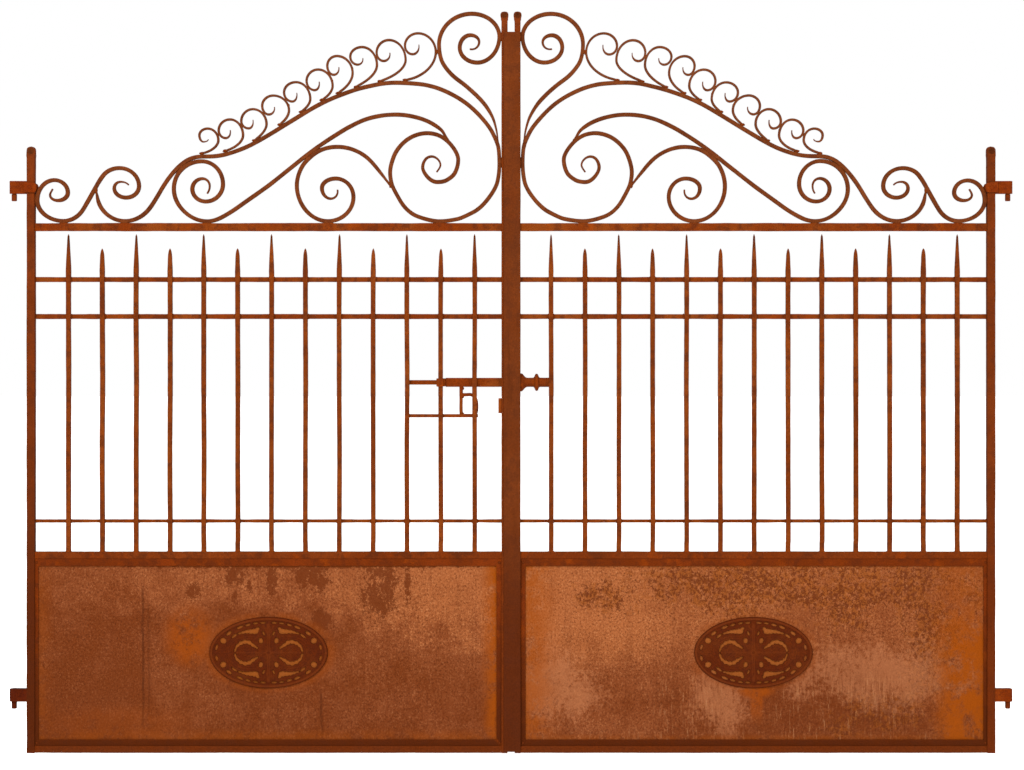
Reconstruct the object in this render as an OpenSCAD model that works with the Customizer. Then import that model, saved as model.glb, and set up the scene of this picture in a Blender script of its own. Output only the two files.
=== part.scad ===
/* Double garden gate in forged flat and square bar.
   Origin: middle of the opening at the level of the bottom edge.
   X runs along the gate, Y points into the garden (the way the leaves open), Z up. Millimetres. */

/* [Opening] */
// Distance from the middle of the gate to each hinge axis
hinge_x = 1490; // [1486:1:1496]
// Width of the gap between the two meeting stiles
meeting_gap = 21; // [19:1:23]

/* [Stiles] */
// Width and depth of the hinge stiles
hinge_stile_w = 24; // [22:1:26]
// Distance from the middle of the gate to the inner face of a hinge stile
hinge_stile_in = 1427; // [1427:1:1429]
// Height of the centre of the forged head of a hinge stile
hinge_head_z = 1804; // [1790:1:1820]
// Radius of the forged head of a hinge stile
hinge_head_r = 14; // [13:1:16]
// Width of a meeting stile
meeting_stile_w = 18; // [16:1:18]
// Height of the centre of the forged head of a meeting stile
meeting_head_z = 2211; // [2205:1:2220]
// Radius of the forged head of a meeting stile
meeting_head_r = 12; // [10:1:13]

/* [Rails] */
// Top of the top rail, on which the scrollwork stands
top_rail_z = 1588; // [1586:1:1588]
// Height of the top rail
top_rail_h = 24; // [20:1:26]
// Middle of the upper picket rail
upper_rail_z = 1419; // [1400:1:1440]
// Middle of the second picket rail
middle_rail_z = 1308; // [1280:1:1340]
// Height of these two rails
picket_rail_h = 15; // [12:1:20]
// Middle of the thin rail above the panel
thin_rail_z = 694; // [660:1:760]
// Height of the thin rail
thin_rail_h = 10; // [8:1:14]

/* [Pickets] */
// Side of the square picket bar
picket_w = 14; // [12:1:15]
// Distance between two pickets
picket_pitch = 101.5; // [101:0.5:102]
// Middle of the gate to the first picket
picket_first = 109; // [108:1:110]
// Middle of the gate to the first picket of the right leaf
picket_first_right = 120.5; // [120:0.5:121]
// Tip of the tall pickets
tall_tip_z = 1555; // [1530:1:1560]
// Tip of the short pickets
short_tip_z = 1512; // [1480:1:1520]

/* [Panel] */
// Top of the sheet panel frame
panel_top_z = 603; // [600:1:620]
// Height of the panel's top and bottom rails
panel_rail_h = 21; // [18:1:24]
// Thickness of the panel sheet
sheet_t = 2; // [1.5:0.5:3]
// Length and height of the cast medallion
medallion_size = [355, 213];
// Middle of the medallion, from the middle of the gate and from the bottom edge
medallion_at = [727, 300];

/* [Scrolls] */
// Width, in the plane of the gate, of the large scroll bars
scroll_w = 12; // [10:0.5:12]
// Depth of the large scroll bars
scroll_d = 14; // [10:1:16]
// Width of the ten small scrolls
small_w = 7; // [5:0.5:7]
// Depth of the ten small scrolls
small_d = 10; // [8:1:12]

/* [Hinges] */
// Radius of the pintle pins
pin_r = 8; // [7.5:0.5:9]
// Radius of the neck of a pintle pin, in its gudgeon
neck_r = 7; // [6:0.5:7]
// Free length of a pintle pin below its gudgeon
pin_free = 22; // [15:1:40]
// Radial clearance of a pin in its gudgeon
pin_gap = 0.05; // [0.02:0.01:0.1]
// Bottom of the upper gudgeons
upper_gudgeon_z = 1676; // [1670:1:1680]
// Bottom of the lower gudgeons
lower_gudgeon_z = 154; // [140:1:170]
// Height of a gudgeon
gudgeon_h = 38; // [34:1:40]

/* [Bolt] */
// Height of the middle of the bolt
bolt_z = 1110; // [1100:1:1120]
// Distance of the middle of the bolt behind the plane of the gate
bolt_y = 20.5; // [20.5:0.5:21]
// Height of the bolt bar
bolt_h = 27; // [24:1:27]
// Thickness of the bolt bar
bolt_t = 10; // [8:1:10]
// Clearance round the bolt in its guides
bolt_gap = 0.3; // [0.3:0.1:0.8]
// Width of the cover strip over the meeting gap
strip_w = 50; // [46:1:50]
// Top of the cover strip
strip_top_z = 2160; // [2100:1:2180]

/* [Hidden] */
$fn = 48;

stile_out = hinge_stile_in + hinge_stile_w;
meet_in = meeting_gap / 2;
meet_out = meet_in + meeting_stile_w;
meet_back = 11;
rail_len = hinge_stile_in - meet_out;
picket_front = -8;
picket_back = picket_front + picket_w;
bead_t = 6;
bead_top = 22;
bead_bottom = 18;
bead_hinge = 10;
bead_meet = 15;

rust = [0.50, 0.24, 0.11];
bright_rust = [0.62, 0.31, 0.14];
dark_rust = [0.36, 0.19, 0.13];
sheet_rust = [0.66, 0.38, 0.25];
purple_rust = [0.45, 0.22, 0.13];

/* ---- curves: a bar is a chain of knots [x, z, heading in degrees], each stretch a smooth arc ---- */
function dir(a) = [cos(a), sin(a)];
function crs(a, b) = a[0] * b[1] - a[1] * b[0];
function wrap(a) = a - 360 * floor((a + 180) / 360);
function arc_of(k0, k1) =
  let (p0 = [k0[0], k0[1]], p1 = [k1[0], k1[1]], t0 = dir(k0[2]), t1 = dir(k1[2]),
       c = p1 - p0, L = norm(c), turn = abs(wrap(k1[2] - k0[2])), den = crs(t0, t1),
       a = abs(den) > 0.03 ? crs(c, t1) / den : -1, b = abs(den) > 0.03 ? crs(t0, c) / den : -1,
       good = a > 0.05 * L && b > 0.05 * L && a < 2.5 * L && b < 2.5 * L,
       k = good ? 4 / 3 * tan(turn / 4) / tan(turn / 2) : 0,
       h0 = good ? k * a : L / 3, h1 = good ? k * b : L / 3,
       q0 = p0 + h0 * t0, q1 = p1 - h1 * t1,
       n = max(2, ceil(turn / 11), ceil(L / 60)))
  [for (i = [0:n - 1]) let (t = i / n, u = 1 - t)
    u * u * u * p0 + 3 * u * u * t * q0 + 3 * u * t * t * q1 + t * t * t * p1];
function centre_line(knots) = concat(
  [for (i = [0:len(knots) - 2]) each arc_of(knots[i], knots[i + 1])],
  [[knots[len(knots) - 1][0], knots[len(knots) - 1][1]]]);
function lengths(p) = [for (i = 0, s = 0; i < len(p); s = s + (i + 1 < len(p) ? norm(p[i + 1] - p[i]) : 0), i = i + 1) s];
function ease(x) = x <= 0 ? 0 : x >= 1 ? 1 : x * x * (3 - 2 * x);
// outline of a bar of width w that draws down to e0 and e1 over the lengths t0 and t1
function outline(p, w, e0, t0, e1, t1) =
  let (s = lengths(p), n = len(p), total = s[n - 1],
       half = [for (i = [0:n - 1]) min(e0 + (w - e0) * ease(s[i] / t0), e1 + (w - e1) * ease((total - s[i]) / t1)) / 2],
       nrm = [for (i = [0:n - 1]) let (a = p[max(0, i - 1)], b = p[min(n - 1, i + 1)], d = b - a, l = norm(d)) [-d[1] / l, d[0] / l]],
       d0 = (p[0] - p[1]) / norm(p[0] - p[1]), d1 = (p[n - 1] - p[n - 2]) / norm(p[n - 1] - p[n - 2]))
  concat([for (i = [0:n - 1]) p[i] + nrm[i] * half[i]],
         [p[n - 1] + nrm[n - 1] * half[n - 1] * 0.5 + d1 * half[n - 1] * 0.85, p[n - 1] - nrm[n - 1] * half[n - 1] * 0.5 + d1 * half[n - 1] * 0.85],
         [for (i = [n - 1:-1:0]) p[i] - nrm[i] * half[i]],
         [p[0] - nrm[0] * half[0] * 0.5 + d0 * half[0] * 0.85, p[0] + nrm[0] * half[0] * 0.5 + d0 * half[0] * 0.85]);
// stands an outline in the X-Z plane, centred on the plane of the gate, depth d
module upright(d, y = 0) translate([0, y + d / 2, 0]) rotate([90, 0, 0]) linear_extrude(d) children();
module bar(knots, w, d, e0, t0, e1, t1) upright(d) polygon(outline(centre_line(knots), w, e0, t0, e1, t1));

foot = top_rail_z + scroll_w / 2;
hug_stile = -(hinge_stile_in - scroll_w / 2);
hug_meet = -(meet_out + scroll_w / 2 + 0.5);

outer_knots = [
  [-1375, 1689, -115], [-1383, 1672, -90], [-1359, 1655, 0], [-1329, 1679, 90], [-1369, 1717, 180],
  [hug_stile, 1657, -90], [-1342, foot, 0], [-1284, 1628, 58], [-1248, 1692, 62], [-1222, 1733, 50],
  [-1175, 1753, 0], [-1116, 1699, -90], [-1156, 1664, 180], [-1191, 1693, 90], [-1172, 1712, 0], [-1148, 1703, -55]];
arch_knots = [
  [-1246, 1700, -95], [-1241, 1666, -82], [-1158, foot, 0], [-1086, 1631, 52], [-1051, 1685, 59],
  [-1011, 1741, 49], [-975, 1774, 34], [-931, 1788, 3], [-891, 1789, 4], [-837, 1800, 18], [-784, 1821, 26],
  [-684, 1879, 32], [-585, 1939, 29], [-510, 1973, 20], [-435, 1996, 13], [-387, 2006, 8], [-327, 2009, -2],
  [-261, 2004, -10], [-201, 1986, -24], [-135, 1948, -37], [-90, 1906, -48], [-57, 1862, -62],
  [hug_meet - 4, 1821, -75], [hug_meet, 1770, -90], [-41, 1712, -103], [-66, 1665, -127], [-112, 1622, -152],
  [-159, 1601, -168], [-216, foot, 180], [-279, 1608, 160], [-333, 1656, 120], [-356, 1700, 110], [-363, 1740, 90],
  [-351, 1789, 68], [-327, 1825, 46], [-286, 1852, 20], [-246, 1858, -4], [-207, 1846, -32], [-177, 1819, -52],
  [-158, 1778, -90], [-168, 1738, -118], [-192, 1717, -150], [-222, 1711, 180], [-252, 1728, 130], [-265, 1755, 90],
  [-256, 1780, 50], [-238, 1788, 0], [-217, 1777, -50], [-211, 1762, -90], [-222, 1742, -130]];
lower_knots = [
  [-911, 1678, 52], [-904, 1700, 90], [-925, 1722, 180], [-956, 1690, -90], [-916, 1653, 0], [-864, 1705, 90],
  [-928, 1774, 180], [-1011, 1690, -90], [-998, 1645, -58], [-911, foot, 0], [-871, 1604, 26], [-811, 1641, 36],
  [-735, 1695, 36], [-684, 1735, 39], [-634, 1775, 39], [-585, 1813, 36], [-535, 1847, 32], [-486, 1876, 27],
  [-435, 1899, 19], [-387, 1911, 9], [-346, 1914, 0], [-297, 1909, -12], [-252, 1895, -24], [-211, 1869, -40],
  [-190, 1838, -50]];
middle_knots = [
  [-520, 1687, -78], [-540, 1661, 180], [-567, 1693, 90], [-525, 1722, 0], [-473, 1666, -90], [-549, foot, 180],
  [-642, 1700, 90], [-625, 1760, 60], [-595, 1792, 40], [-555, 1813, 15], [-516, 1817, -2], [-475, 1809, -20],
  [-435, 1787, -38], [-396, 1745, -52], [-362, 1701, -57]];
top_knots = [
  [-122, 2110, -14], [-95, 2131, 90], [-122, 2152, 180], [-154, 2115, -90], [-101, 2070, 0], [hug_meet, 2147, 90],
  [-119, 2216, 180], [-216, 2124, -90], [-209, 2078, -72], [-181, 2037, -47], [-135, 2000, -40], [-85, 1952, -50],
  [-57, 1908, -64], [-44, 1867, -77], [hug_meet - 3, 1820, -86]];

// crest scrolls: [top x, top z, left x, left z, inner bottom x, z, inner end x, z, right x, right z, foot x, foot z, heading at the foot]
crest = [
  [-910, 1872, -935, 1852, -922, 1832, -908, 1839, -880, 1837, -930, 1797, -170],
  [-843, 1899, -873, 1866, -855, 1843, -842, 1866, -806, 1852, -860, 1804, -165],
  [-774, 1930, -805, 1893, -786, 1872, -774, 1897, -736, 1885, -772, 1835, -146],
  [-714, 1971, -743, 1940, -727, 1914, -710, 1936, -668, 1927, -696, 1883, -146],
  [-645, 2011, -677, 1980, -655, 1953, -642, 1978, -604, 1961, -632, 1921, -148],
  [-579, 2049, -609, 2015, -588, 1987, -575, 2012, -537, 2000, -569, 1957, -150],
  [-522, 2089, -547, 2060, -531, 2033, -516, 2055, -477, 2038, -521, 1978, -152],
  [-447, 2116, -478, 2087, -459, 2063, -444, 2082, -404, 2062, -467, 1996, -156],
  [-366, 2137, -399, 2099, -381, 2074, -363, 2098, -318, 2077, -395, 2013, -163],
  [-279, 2157, -314, 2120, -294, 2094, -276, 2122, -227, 2101, -320, 2017, -172]];
function crest_knots(c) = [
  [c[6], c[7], -80], [c[4], c[5], 180], [c[2], c[3], 90], [c[0], c[1], 0], [c[8], c[9], -90], [c[10], c[11], c[12]]];

/* ---- one leaf, drawn on the left; the right leaf is its mirror image ---- */
module hinge_stile() {
  difference() {
    union() {
      translate([-stile_out, -hinge_stile_w / 2, 0]) cube([hinge_stile_w, hinge_stile_w, hinge_head_z]);
      translate([-stile_out + hinge_stile_w / 2, hinge_stile_w / 2, hinge_head_z]) rotate([90, 0, 0])
        cylinder(r = hinge_head_r, h = hinge_stile_w);
    }
    // dimple struck in the middle of the head
    translate([-stile_out + hinge_stile_w / 2, -hinge_stile_w / 2 + 2, hinge_head_z]) rotate([90, 0, 0])
      cylinder(r = 5, h = 4);
  }
}
module meeting_stile(front) {
  difference() {
    union() {
      translate([-meet_out, front, 0]) cube([meeting_stile_w, meet_back - front, meeting_head_z]);
      translate([-(meet_in + meeting_stile_w / 2), meet_back, meeting_head_z]) rotate([90, 0, 0])
        cylinder(r = meeting_head_r, h = meet_back - front);
    }
    translate([-(meet_in + meeting_stile_w / 2), front + 2, meeting_head_z]) rotate([90, 0, 0]) cylinder(r = 4, h = 4);
  }
}
module top_rail() translate([-hinge_stile_in, -6, top_rail_z - top_rail_h]) cube([rail_len, 12, top_rail_h]);
module picket_rail(z, h, d) translate([-hinge_stile_in, picket_back, z - h / 2]) cube([rail_len, d, h]);
// one picket: square bar that draws out to a lance point above the upper rail
module picket(i, tip, start) {
  x = -(start + picket_pitch * i);
  shoulder = upper_rail_z + 12;
  h = picket_w / 2;
  w1 = h * 0.62;
  zm = tip - 34;
  translate([x, 0, 0]) upright(picket_w, picket_front + h)
    polygon([[-h, panel_top_z], [h, panel_top_z], [h, shoulder], [w1, zm], [1.6, tip - 3], [0.6, tip], [-0.6, tip], [-1.6, tip - 3], [-w1, zm], [-h, shoulder]]);
}
module pickets(first, tip, start = picket_first) for (i = [first:2:12]) picket(i, tip, start);
module panel_rail(z) translate([-hinge_stile_in, -8, z]) cube([rail_len, 16, panel_rail_h]);
module bead(x0, x1, z0, z1, slope) upright(bead_t, -bead_t / 2) polygon(slope == 0
  ? [[x0, z0], [x1, z0], [x1 - bead_meet, z1], [x0 + bead_hinge, z1]]
  : slope == 1 ? [[x0 + bead_hinge, z0], [x1 - bead_meet, z0], [x1, z1], [x0, z1]]
  : slope == 2 ? [[x0, z0], [x1, z0 + bead_bottom], [x1, z1 - bead_top], [x0, z1]]
  : [[x0, z0 + bead_bottom], [x1, z0], [x1, z1], [x0, z1 - bead_top]]);
module panel_beads() {
  x0 = -hinge_stile_in; x1 = -meet_out; z0 = panel_rail_h; z1 = panel_top_z - panel_rail_h;
  bead(x0, x1, z0, z0 + bead_bottom, 0);
  bead(x0, x1, z1 - bead_top, z1, 1);
  bead(x0, x0 + bead_hinge, z0, z1, 2);
  bead(x1 - bead_meet, x1, z0, z1, 3);
}
module panel_sheet() translate([-hinge_stile_in, 0, panel_rail_h]) cube([rail_len, sheet_t, panel_top_z - 2 * panel_rail_h]);
function oval(a, b, n = 72) = [for (i = [0:n - 1]) [a * cos(i * 360 / n), b * sin(i * 360 / n)]];
function band(a0, b0, a1, b1, f, t) = concat(
  [for (i = [0:10]) let (u = f + (t - f) * i / 10) [a0 * cos(u), b0 * sin(u)]],
  [for (i = [10:-1:0]) let (u = f + (t - f) * i / 10) [a1 * cos(u), b1 * sin(u)]]);
// cast openwork oval: pierced border, four curved openings in each quarter, solid cross in the middle
module medallion() {
  a = medallion_size[0] / 2; b = medallion_size[1] / 2;
  translate([-medallion_at[0], 0, medallion_at[1]]) {
    upright(5, -2.5) difference() {
      polygon(oval(a, b));
      for (i = [0:35]) translate([(a - 19) * cos(i * 10 + 5), (b - 17) * sin(i * 10 + 5)]) circle(r = 4.2, $fn = 8);
      for (q = [0:3]) {
        polygon(band(a - 38, b - 33, a - 62, b - 51, q * 90 + 14, q * 90 + 42));
        polygon(band(a - 38, b - 33, a - 62, b - 51, q * 90 + 48, q * 90 + 76));
        polygon(band(a - 74, b - 58, a - 104, b - 76, q * 90 + 20, q * 90 + 70));
      }
    }
    // raised outer and inner rings
    upright(4, -7) difference() { polygon(oval(a, b)); polygon(oval(a - 9, b - 9)); }
    upright(3, -6.5) difference() { polygon(oval(a - 28, b - 25)); polygon(oval(a - 36, b - 31)); }
    // raised cross with leaf ends
    upright(4, -7) difference() {
      union() {
        polygon([[-92, 0], [-66, 9], [-20, 6], [-8, 14], [-6, 40], [-14, 60], [0, 74], [14, 60], [6, 40], [8, 14], [20, 6], [66, 9],
                 [92, 0], [66, -9], [20, -6], [8, -14], [6, -40], [14, -60], [0, -74], [-14, -60], [-6, -40], [-8, -14], [-20, -6], [-66, -9]]);
        circle(r = 20);
      }
      circle(r = 7);
    }
  }
}
module rivet(x, y, z, r, h) translate([x, y, z]) rotate([90, 0, 0]) cylinder(r1 = r, r2 = r * 0.62, h = h, $fn = 24);
module rivets() {
  for (s = [-1, 1]) rivet(-medallion_at[0] + s * (medallion_size[0] / 2 - 23), -5, medallion_at[1], 5, 3);
  for (x = [-hinge_stile_in + 5, -meet_out - 7], z = [panel_rail_h + 9, panel_top_z - panel_rail_h - 11])
    rivet(x, -bead_t, z, 4, 2.5);
}
module crest_scrolls() for (c = crest) bar(crest_knots(c), small_w, small_d, 3, 34, 5, 14);
// gudgeon: eye block round the pin; an upper one also has two cheeks that clasp the stile, with two rivets' heads
module gudgeon(z, clasp) translate([0, 0, z]) difference() {
  w = hinge_stile_w;
  union() {
    translate([-hinge_x, 0, 0]) cylinder(r = 14, h = gudgeon_h);
    translate([-hinge_x, -w / 2, 0]) cube([hinge_x - stile_out, w, gudgeon_h]);
    if (clasp) for (s = [-1, 1]) {
      translate([-stile_out - 8, s > 0 ? w / 2 : -w / 2 - 6, 3]) cube([w + 8 + 7, 6, gudgeon_h - 6]);
      translate([-stile_out + w / 2, s * (w / 2 + 6), gudgeon_h / 2]) rotate([s < 0 ? 90 : -90, 0, 0]) cylinder(r1 = 7, r2 = 4.5, h = 3, $fn = 24);
    }
  }
  translate([-hinge_x, 0, -1]) cylinder(r = neck_r + pin_gap, h = gudgeon_h - 6 + 1);
}
// pintle: thick free end below the gudgeon, thinner neck that the gudgeon turns on
module pintle(z) translate([-hinge_x, 0, z - pin_free]) {
  cylinder(r1 = pin_r - 1.5, r2 = pin_r, h = 2);
  translate([0, 0, 2]) cylinder(r = pin_r, h = pin_free - 4);
  translate([0, 0, pin_free - 2]) cylinder(r = neck_r, h = 2 + gudgeon_h - 6 - 0.3);
}
module right() mirror([1, 0, 0]) children();

/* ---- bolt, on the left leaf ---- */
guide_x = -(picket_first + picket_pitch);
bar_end = -12;
module guide(x, w, hole_h, y0) {
  t = 5;
  top = hole_h / 2 + bolt_gap;
  translate([x - w / 2, y0, bolt_z]) difference() {
    translate([0, 0, -top - t]) cube([w, bolt_y + bolt_t / 2 + bolt_gap + 4 - y0, 2 * (top + t)]);
    translate([-1, bolt_y - bolt_t / 2 - bolt_gap - y0, -top]) cube([w + 2, bolt_t + 2 * bolt_gap, 2 * top]);
  }
}

/* ---- nodes ---- */
module left_upper_pintle() color(dark_rust) pintle(upper_gudgeon_z);
module left_lower_pintle() color(dark_rust) pintle(lower_gudgeon_z);
module right_upper_pintle() color(dark_rust) right() pintle(upper_gudgeon_z);
module right_lower_pintle() color(dark_rust) right() pintle(lower_gudgeon_z);

module left_hinge_stile() color(rust) hinge_stile();
module left_meeting_stile() color(rust) meeting_stile(-meet_back + 0.5);
module left_top_rail() color(rust) top_rail();
module left_upper_rail() color(rust) picket_rail(upper_rail_z, picket_rail_h, 8);
module left_middle_rail() color(rust) picket_rail(middle_rail_z, picket_rail_h, 8);
module left_thin_rail() color(rust) picket_rail(thin_rail_z, thin_rail_h, 6);
module left_tall_pickets() color(rust) pickets(0, tall_tip_z);
module left_short_pickets() color(rust) pickets(1, short_tip_z);
module left_panel_rail() color(rust) panel_rail(panel_top_z - panel_rail_h);
module left_bottom_rail() color(rust) panel_rail(0);
module left_panel_beads() color(bright_rust) panel_beads();
module left_panel_sheet() color(sheet_rust) panel_sheet();
module left_medallion() color(dark_rust) medallion();
module left_rivets() color(dark_rust) rivets();
module left_outer_scroll() color(rust) bar(outer_knots, scroll_w, scroll_d, 5, 80, 5, 90);
module left_arch_scroll() color(rust) bar(arch_knots, scroll_w, scroll_d, 4, 60, 5, 170);
module left_lower_scroll() color(rust) bar(lower_knots, scroll_w, scroll_d, 5, 110, 8, 70);
module left_middle_scroll() color(rust) bar(middle_knots, scroll_w, scroll_d, 5, 90, 7, 80);
module left_top_scroll() color(rust) bar(top_knots, scroll_w, scroll_d, 5, 100, 4, 160);
module left_crest_scrolls() color(rust) crest_scrolls();
module left_upper_gudgeon() color(bright_rust) gudgeon(upper_gudgeon_z, true);
module left_lower_gudgeon() color(bright_rust) gudgeon(lower_gudgeon_z, false);

// clasp on the second picket, for the tail of the bolt, and a staple behind the meeting stile
module bolt_guides() color(bright_rust) {
  guide(guide_x, 27, bolt_h / 2, picket_back);
  guide(-(meet_in + meeting_stile_w / 2), meeting_stile_w - 2, bolt_h, meet_back);
  // plate with cut corners in front of the picket
  translate([guide_x - 2.5, 0, bolt_z]) upright(4, picket_front - 2) polygon([[-11, -9], [-7, -13], [7, -13], [11, -9], [11, 9], [7, 13], [-7, 13], [-11, 9]]);
}
module grip_rail() color(rust) translate([-(picket_first + 2 * picket_pitch) - 5, picket_back, 1005])
  cube([2 * picket_pitch + 16, 6, 10]);
module stop_lug() color(bright_rust) translate([-38, -6, 1018]) cube([38 - meet_out, 12, 45]);
module bolt_bar() color(rust) {
  x0 = guide_x + 13.5 + bolt_gap;
  upright(bolt_t, bolt_y) polygon([
    [x0 - 118, bolt_z - bolt_h / 4], [x0, bolt_z - bolt_h / 4], [x0, bolt_z - bolt_h / 2], [bar_end, bolt_z - bolt_h / 2],
    [bar_end, bolt_z + bolt_h / 2], [x0, bolt_z + bolt_h / 2], [x0, bolt_z + bolt_h / 4], [x0 - 118, bolt_z + bolt_h / 4]]);
  upright(9, bolt_y) polygon([[bar_end - 6, bolt_z - 5.5], [5, bolt_z - 5.5], [8, bolt_z - 3], [8, bolt_z + 3], [5, bolt_z + 5.5], [bar_end - 6, bolt_z + 5.5]]);
}
// stirrup under the bolt: a straight side, a cross piece and a bowed side
module bolt_grip() color(rust) {
  top = bolt_z - bolt_h / 2;
  upright(bolt_t, bolt_y) difference() {
    polygon([[-155, 1006], [-155, top], [-145, top], [-145, 1079], [-112, 1079], [-103, 1070], [-99, 1056], [-98, 1036], [-99, 1018], [-104, 1006]]);
    polygon([[-145.5, 1021], [-145.5, 1063], [-142, 1067], [-116, 1067], [-111, 1060], [-109, 1048], [-108.5, 1034], [-110, 1020], [-114, 1016], [-141, 1016]]);
  }
}
module bolt_rivets() color(dark_rust) for (x = [-150, -125])
  translate([x, bolt_y + bolt_t / 2, bolt_z - (x < -140 ? 5 : -5)]) rotate([-90, 0, 0]) cylinder(r1 = 5, r2 = 3, h = 2.5, $fn = 24);

module right_hinge_stile() color(rust) right() hinge_stile();
module right_meeting_stile() color(rust) right() meeting_stile(-meet_back);
module right_top_rail() color(rust) right() top_rail();
module right_upper_rail() color(rust) right() picket_rail(upper_rail_z, picket_rail_h, 8);
module right_middle_rail() color(rust) right() picket_rail(middle_rail_z, picket_rail_h, 8);
module right_thin_rail() color(rust) right() picket_rail(thin_rail_z, thin_rail_h, 6);
module right_tall_pickets() color(rust) right() pickets(0, tall_tip_z, picket_first_right);
module right_short_pickets() color(rust) right() pickets(1, short_tip_z, picket_first_right);
module right_panel_rail() color(rust) right() panel_rail(panel_top_z - panel_rail_h);
module right_bottom_rail() color(rust) right() panel_rail(0);
module right_panel_beads() color(bright_rust) right() panel_beads();
module right_panel_sheet() color(sheet_rust) right() panel_sheet();
module right_medallion() color(dark_rust) right() medallion();
module right_rivets() color(dark_rust) right() rivets();
module right_outer_scroll() color(rust) right() bar(outer_knots, scroll_w, scroll_d, 5, 80, 5, 90);
module right_arch_scroll() color(rust) right() bar(arch_knots, scroll_w, scroll_d, 4, 60, 5, 170);
module right_lower_scroll() color(rust) right() bar(lower_knots, scroll_w, scroll_d, 5, 110, 8, 70);
module right_middle_scroll() color(rust) right() bar(middle_knots, scroll_w, scroll_d, 5, 90, 7, 80);
module right_top_scroll() color(rust) right() bar(top_knots, scroll_w, scroll_d, 5, 100, 4, 160);
module right_crest_scrolls() color(rust) right() crest_scrolls();
module right_upper_gudgeon() color(bright_rust) right() gudgeon(upper_gudgeon_z, true);
module right_lower_gudgeon() color(bright_rust) right() gudgeon(lower_gudgeon_z, false);

// flat strip riveted flush to the right meeting stile, over the gap between the leaves
module cover_strip() color(purple_rust) translate([meet_out - strip_w, -meet_back - 5.5, 5]) cube([strip_w, 5.5, strip_top_z - 5]);
// turned socket that takes the nose of the bolt: flared mouth, tube, pointed ring, pad behind the first picket
module bolt_keeper() color(bright_rust) difference() {
  union() {
    translate([0, bolt_y, bolt_z]) rotate([0, 90, 0]) rotate_extrude($fn = 48) polygon([
      [0, meet_out], [27.5, meet_out], [27.5, meet_out + 4], [24, meet_out + 9], [17.5, meet_out + 15], [14.5, meet_out + 20], [14, meet_out + 26], [14, 68],
      [17.5, 70.5], [24, 72.5], [26, 75], [26, 79], [24, 81.5], [17.5, 83.5], [14, 86], [14, 124], [0, 124]]);
    translate([109, picket_back, bolt_z - 12]) cube([15, 10, 24]);
  }
  translate([0, bolt_y, bolt_z]) rotate([0, 90, 0]) cylinder(r = 11.5, h = 108);
}

left_upper_pintle();
left_lower_pintle();
right_upper_pintle();
right_lower_pintle();
left_hinge_stile();
left_meeting_stile();
left_top_rail();
left_upper_rail();
left_middle_rail();
left_thin_rail();
left_tall_pickets();
left_short_pickets();
left_panel_rail();
left_bottom_rail();
left_panel_beads();
left_panel_sheet();
left_medallion();
left_rivets();
left_outer_scroll();
left_arch_scroll();
left_lower_scroll();
left_middle_scroll();
left_top_scroll();
left_crest_scrolls();
left_upper_gudgeon();
left_lower_gudgeon();
bolt_guides();
grip_rail();
stop_lug();
bolt_bar();
bolt_grip();
bolt_rivets();
right_hinge_stile();
right_meeting_stile();
right_top_rail();
right_upper_rail();
right_middle_rail();
right_thin_rail();
right_tall_pickets();
right_short_pickets();
right_panel_rail();
right_bottom_rail();
right_panel_beads();
right_panel_sheet();
right_medallion();
right_rivets();
right_outer_scroll();
right_arch_scroll();
right_lower_scroll();
right_middle_scroll();
right_top_scroll();
right_crest_scrolls();
right_upper_gudgeon();
right_lower_gudgeon();
cover_strip();
bolt_keeper();
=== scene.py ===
import math
import bpy
import bmesh
import numpy as np
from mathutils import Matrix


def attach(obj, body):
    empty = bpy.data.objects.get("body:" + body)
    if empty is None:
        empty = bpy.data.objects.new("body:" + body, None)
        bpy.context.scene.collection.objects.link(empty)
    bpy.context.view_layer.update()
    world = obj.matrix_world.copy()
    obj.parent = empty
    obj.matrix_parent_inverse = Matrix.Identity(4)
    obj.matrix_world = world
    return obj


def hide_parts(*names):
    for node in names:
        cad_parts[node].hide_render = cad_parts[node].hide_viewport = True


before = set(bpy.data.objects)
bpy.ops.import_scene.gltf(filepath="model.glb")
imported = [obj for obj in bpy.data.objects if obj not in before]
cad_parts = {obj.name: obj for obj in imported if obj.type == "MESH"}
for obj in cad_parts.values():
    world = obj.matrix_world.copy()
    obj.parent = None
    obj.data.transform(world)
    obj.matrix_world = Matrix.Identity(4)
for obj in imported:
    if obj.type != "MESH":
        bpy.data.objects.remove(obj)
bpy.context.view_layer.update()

# ------------------------------------------------------------------ numbers of the gate, in millimetres
HX = 1490.0          # hinge axis
SI, SW = 1427.0, 24.0  # hinge stile: inner face, width
MI, MW = 10.5, 18.0    # meeting stile: inner face, width
MO = MI + MW
RAIL_Z, RAIL_H = 1588.0, 24.0
FRONT, BACK = -8.0, 6.0   # picket bar, front and back
PANEL_TOP, PRH = 603.0, 21.0
BOLT_Z, BOLT_Y = 1110.0, 20.5
MED_C = (-727.0, 300.0)
MED_A, MED_B = 177.5, 106.5


# ------------------------------------------------------------------ noise, the same on every run
class Noise:
    def __init__(self, seed):
        self.t = np.random.RandomState(seed).uniform(-1, 1, (32, 32, 32))

    def __call__(self, p):
        p = np.asarray(p, float)
        i = np.floor(p).astype(int)
        f = p - i
        f = f * f * (3 - 2 * f)
        out = 0
        for dx in (0, 1):
            for dy in (0, 1):
                for dz in (0, 1):
                    w = (f[:, 0] if dx else 1 - f[:, 0]) * (f[:, 1] if dy else 1 - f[:, 1]) * (f[:, 2] if dz else 1 - f[:, 2])
                    out = out + w * self.t[(i[:, 0] + dx) % 32, (i[:, 1] + dy) % 32, (i[:, 2] + dz) % 32]
        return out


NOISE = {"left": Noise(11), "right": Noise(29)}


# ------------------------------------------------------------------ mesh building
ALL = []


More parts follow.
